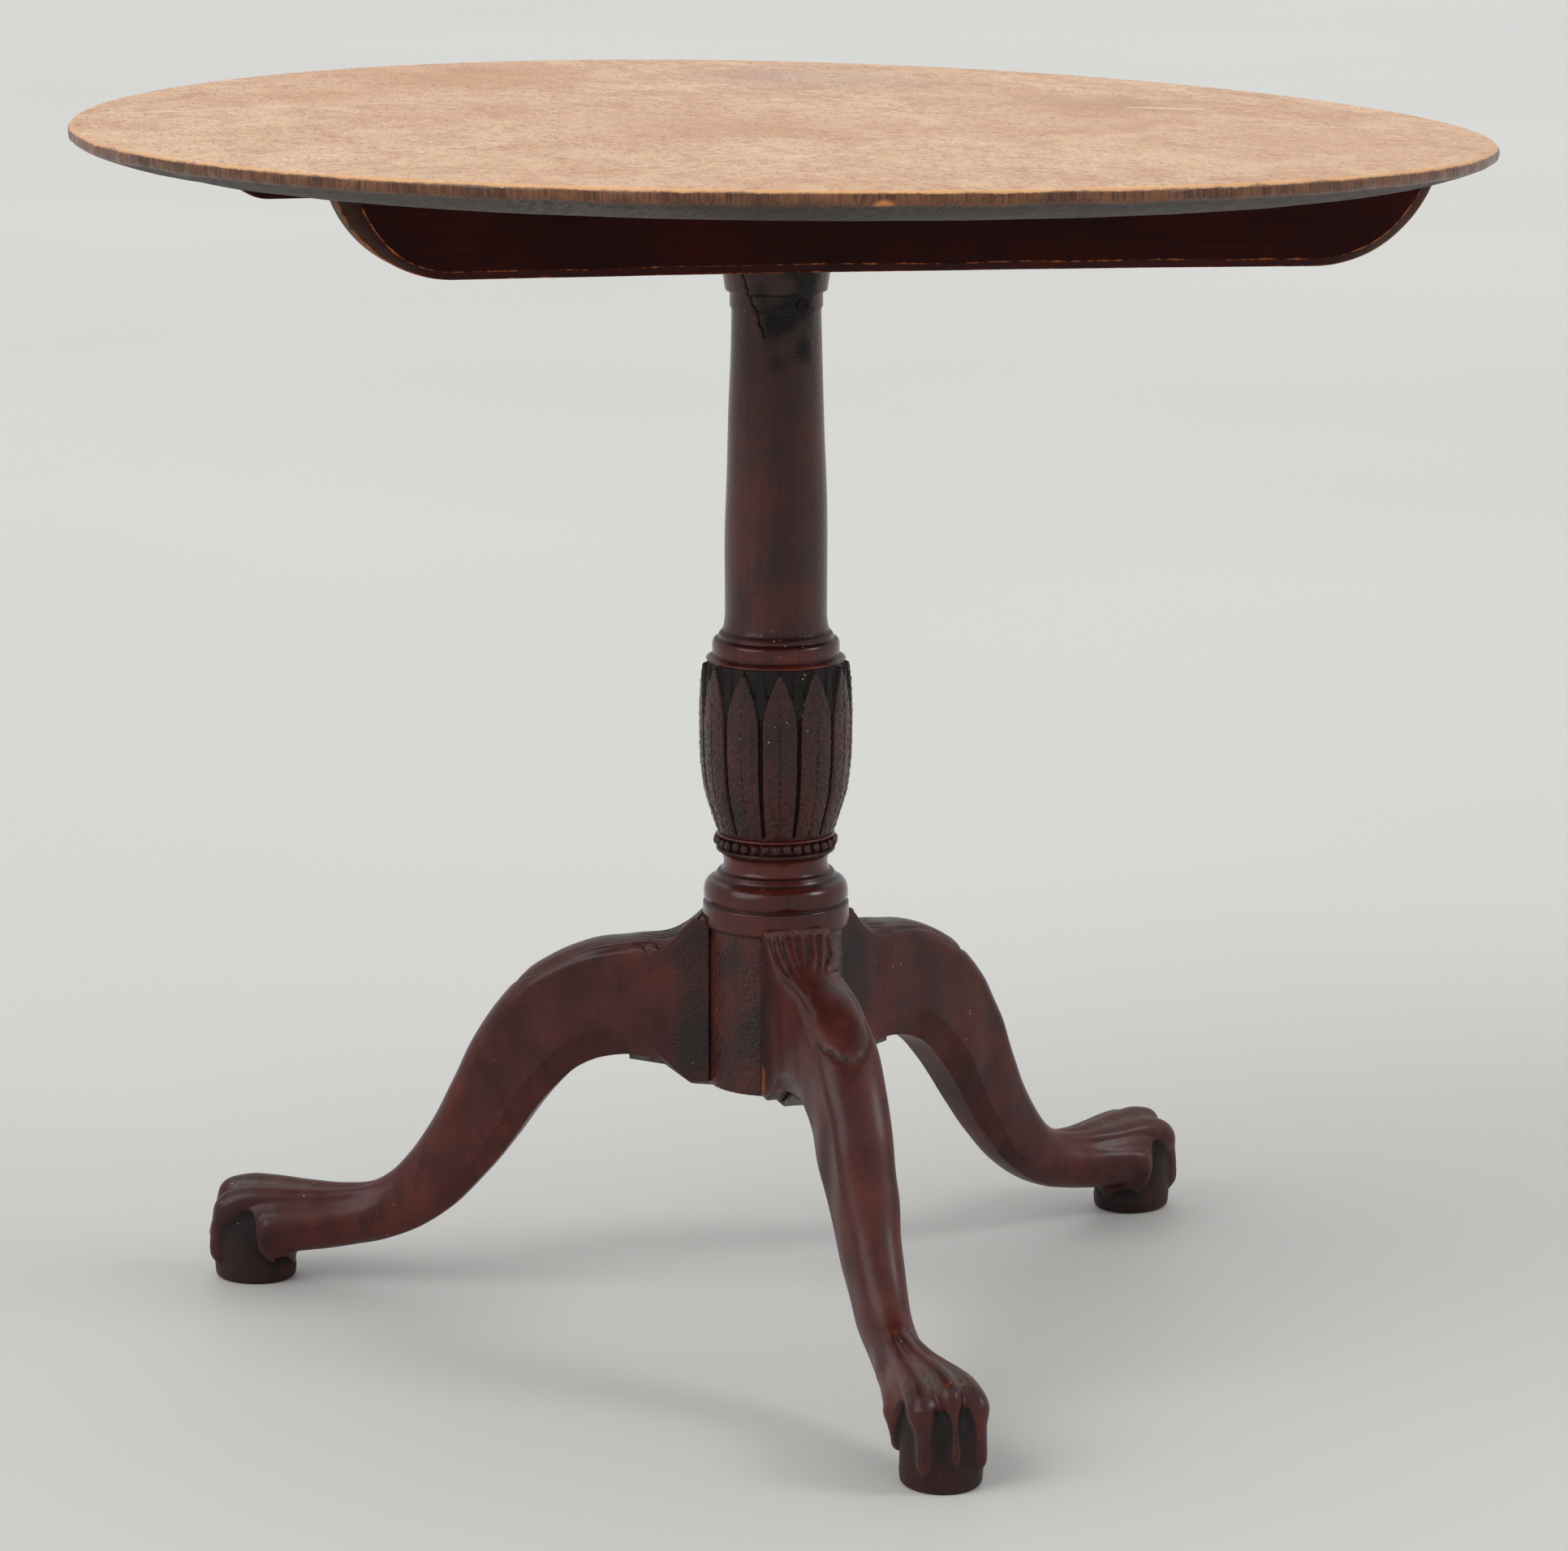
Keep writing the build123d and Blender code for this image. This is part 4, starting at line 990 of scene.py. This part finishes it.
# %% One leg as a surface
def leg_grid(run):
    """Sections at each distance along the crown, as rows x columns x (out, across, up), with
    relief added outwards in the section's own plane."""
    path = through(np.column_stack([crown_run, stations]), run)
    crown_r, crown_z, under_r, under_z, wide = path.T[:, :, None]
    rise, cut_high, cut_wide, oval = through(SECTION, run).T[:, :, None]
    turn = np.concatenate([LEG_COLUMNS, [pi], -LEG_COLUMNS[:0:-1]])[None, :]
    half, way = np.abs(turn), np.sign(turn)
    high = np.hypot(crown_r - under_r, crown_z - under_z)
    across, up = section_half(half, high, wide, rise, cut_high, cut_wide, np.clip(oval, 0, 1))
    run = run[:, None]
    knee, knee_grime_and_shade, knee_worn, lip_dust = knee_relief(run, across * way)
    on_crown = soft_step(-half, -radians(64), -radians(52)) * soft_step(-run, -150, -138)
    paw, paw_grime_and_shade, paw_worn, paw_dust = paw_relief(half, run)
    paw = paw * soft_step(run, PAW - 16, PAW + 4)
    out_across = np.where(oval > 0.5, np.sin(half), np.sin(np.clip(half / radians(60), 0, 1) * pi / 2) ** 3)
    out_up = np.where(oval > 0.5, np.cos(half), 1.0)
    relief = knee * on_crown
    across = across + relief * out_across * 0.4 + paw * np.sin(half)
    up = up + relief * out_up + paw * np.cos(half)
    lean_r, lean_z = (crown_r - under_r) / high, (crown_z - under_z) / high
    point = np.stack([under_r + up * lean_r, across * way, under_z + up * lean_z], -1)
    even_ends = soft_step(run, 12, 40) * soft_step(-run, -crown_run[-1] + 12, -300)
    point[..., 1] += waves(point, 34, 51) * 0.25 * even_ends
    point[..., 2] = np.maximum(point[..., 2], 0)
    lower_arris = bell(np.degrees(half), 130, 3.0) * (1 - np.clip(oval, 0, 1))
    arris = lower_arris + 0.7 * bell(np.degrees(half), 60, 5) * (1 - soft_step(run, 200, 290))
    crown_worn = 0.35 * bell(np.degrees(half), 0, 30) * bell(run, PAW - 6, 14)
    # Dirt and painted shade of the knee's and the paw's hollows.
    grime_and_shade = np.clip(knee_grime_and_shade * on_crown + paw_grime_and_shade, 0, 1)
    worn = np.clip(knee_worn * on_crown + paw_worn * 0.7 + 0.42 * arris + crown_worn, 0, 1)
    near_column = soft_step(-run, -34, -16) * (half > radians(62)) + 0 * half
    foot_edge = bell(point[..., 2], 1.6, 1.0) * soft_step(run, PAW + 100, PAW + 120)
    marks = {"grime_and_shade": grime_and_shade, "worn": np.clip(worn + 0.55 * foot_edge, 0, 1), "crazed": near_column,
             "dust": np.clip(lip_dust * on_crown + paw_dust, 0, 1)}
    return point, marks


leg_rows = np.concatenate([np.arange(0, 14, 0.7), np.arange(14, 60, 1.0), np.arange(60, 150, 1.8),
                           np.arange(150, PAW - 10, 3.5), np.arange(PAW - 10, crown_run[-1], 0.9),
                           [crown_run[-1]]])


def leg(name, turned):
    """The surface along +X, turned by an angle in degrees about the column's axis."""
    grid, marks = leg_grid(leg_rows)
    x, y, z = grid[..., 0], grid[..., 1], grid[..., 2]
    if name == "front_leg":      # torn where it meets the drum, low down, on the side towards -X
        near = bell(x, 42, 3.2) * soft_step(-z, -188, -150) * (y < 0)
        marks["torn"] = np.clip(near * (1 + 0.5 * waves(grid, 9, 61)), 0, 1)
    c, s = cos(radians(turned)), sin(radians(turned))
    mesh = closed_mesh(name, np.stack([x * c - y * s, x * s + y * c, z], -1), marks)
    mesh.materials.append(leg_finish)
    return add_piece(name, mesh, "stand", "dark_wood", "leg_" + name.split("_")[0])


for name, turned in (("front_leg", 270), ("right_leg", 30), ("left_leg", 150)):
    leg(name, turned)

# %% [markdown]
# ## Studio
#
# A large plain pale floor, an even pale world, one wide soft light to the left of the camera,
# a narrower one at the far right, which draws the thin highlight down the column, and a very
# wide one overhead. The lights are distant, so the floor stays evenly bright.

# %% Floor and world
FLOOR_HALF = 14.0
floor_mesh = bpy.data.meshes.new("floor")
corners = [(x * FLOOR_HALF, y * FLOOR_HALF, 0) for x, y in ((-1, -1), (1, -1), (1, 1), (-1, 1))]
floor_mesh.from_pydata(corners, [], [(0, 1, 2, 3)])
floor = bpy.data.objects.new("floor", floor_mesh)
bpy.context.scene.collection.objects.link(floor)
floor_finish = Finish("pale_floor", Specular_IOR_Level=0.3)
floor_cloud = floor_finish.noise(0.5, 3, 0.5)
floor_finish.feed("Base Color", floor_finish.blend(floor_finish.between(floor_cloud, 0.35, 0.65),
                                                   paint(203, 203, 200), paint(206, 206, 203)))
floor_finish.feed("Roughness", floor_finish.between(floor_cloud, 0.3, 0.7, 0.5, 0.6))
floor_mesh.materials.append(floor_finish.material)

world = bpy.data.worlds.new("studio")
world.use_nodes = True
sky = world.node_tree.nodes["Background"]
sky.inputs["Color"].default_value = paint(238, 238, 238)
sky.inputs["Strength"].default_value = 0.72
bpy.context.scene.world = world
bpy.context.scene.view_settings.view_transform = "Standard"


# %% Lights
def soft_light(name, heading, height, spread, strength):
    """Distant light from a heading (degrees from +X) and a height above the floor (degrees); the
    wider its spread, the softer its shadows."""
    data = bpy.data.lights.new(name, "SUN")
    data.energy, data.angle = strength, radians(spread)
    lamp = bpy.data.objects.new(name, data)
    level = cos(radians(height))
    way = Vector((level * cos(radians(heading)), level * sin(radians(heading)), sin(radians(height))))
    lamp.rotation_euler = way.to_track_quat("Z", "Y").to_euler()
    bpy.context.scene.collection.objects.link(lamp)
    return lamp


soft_light("left_window", 199, 38, 45, 1.15)
soft_light("right_window", 333, 35, 18, 0.7)
soft_light("overhead", 95, 75, 80, 0.55)

# %% [markdown]
# The camera stands about 3.5 m from the table, in front and a little to its left, and some
# 0.3 m above the top, with a long lens, so the top is seen as a thin oval.

# %% Camera
camera_data = bpy.data.cameras.new("camera")
camera_data.sensor_width = 36.0
camera_data.lens = 137.335
camera_data.shift_y = -0.00787
camera_data.clip_end = 60
camera = bpy.data.objects.new("camera", camera_data)
camera.location = (-0.9618, -3.3255, 1.0626)
camera.rotation_euler = Euler((radians(78.185), -0.0015, radians(-16.193)), "XYZ")
bpy.context.scene.collection.objects.link(camera)
bpy.context.scene.camera = camera
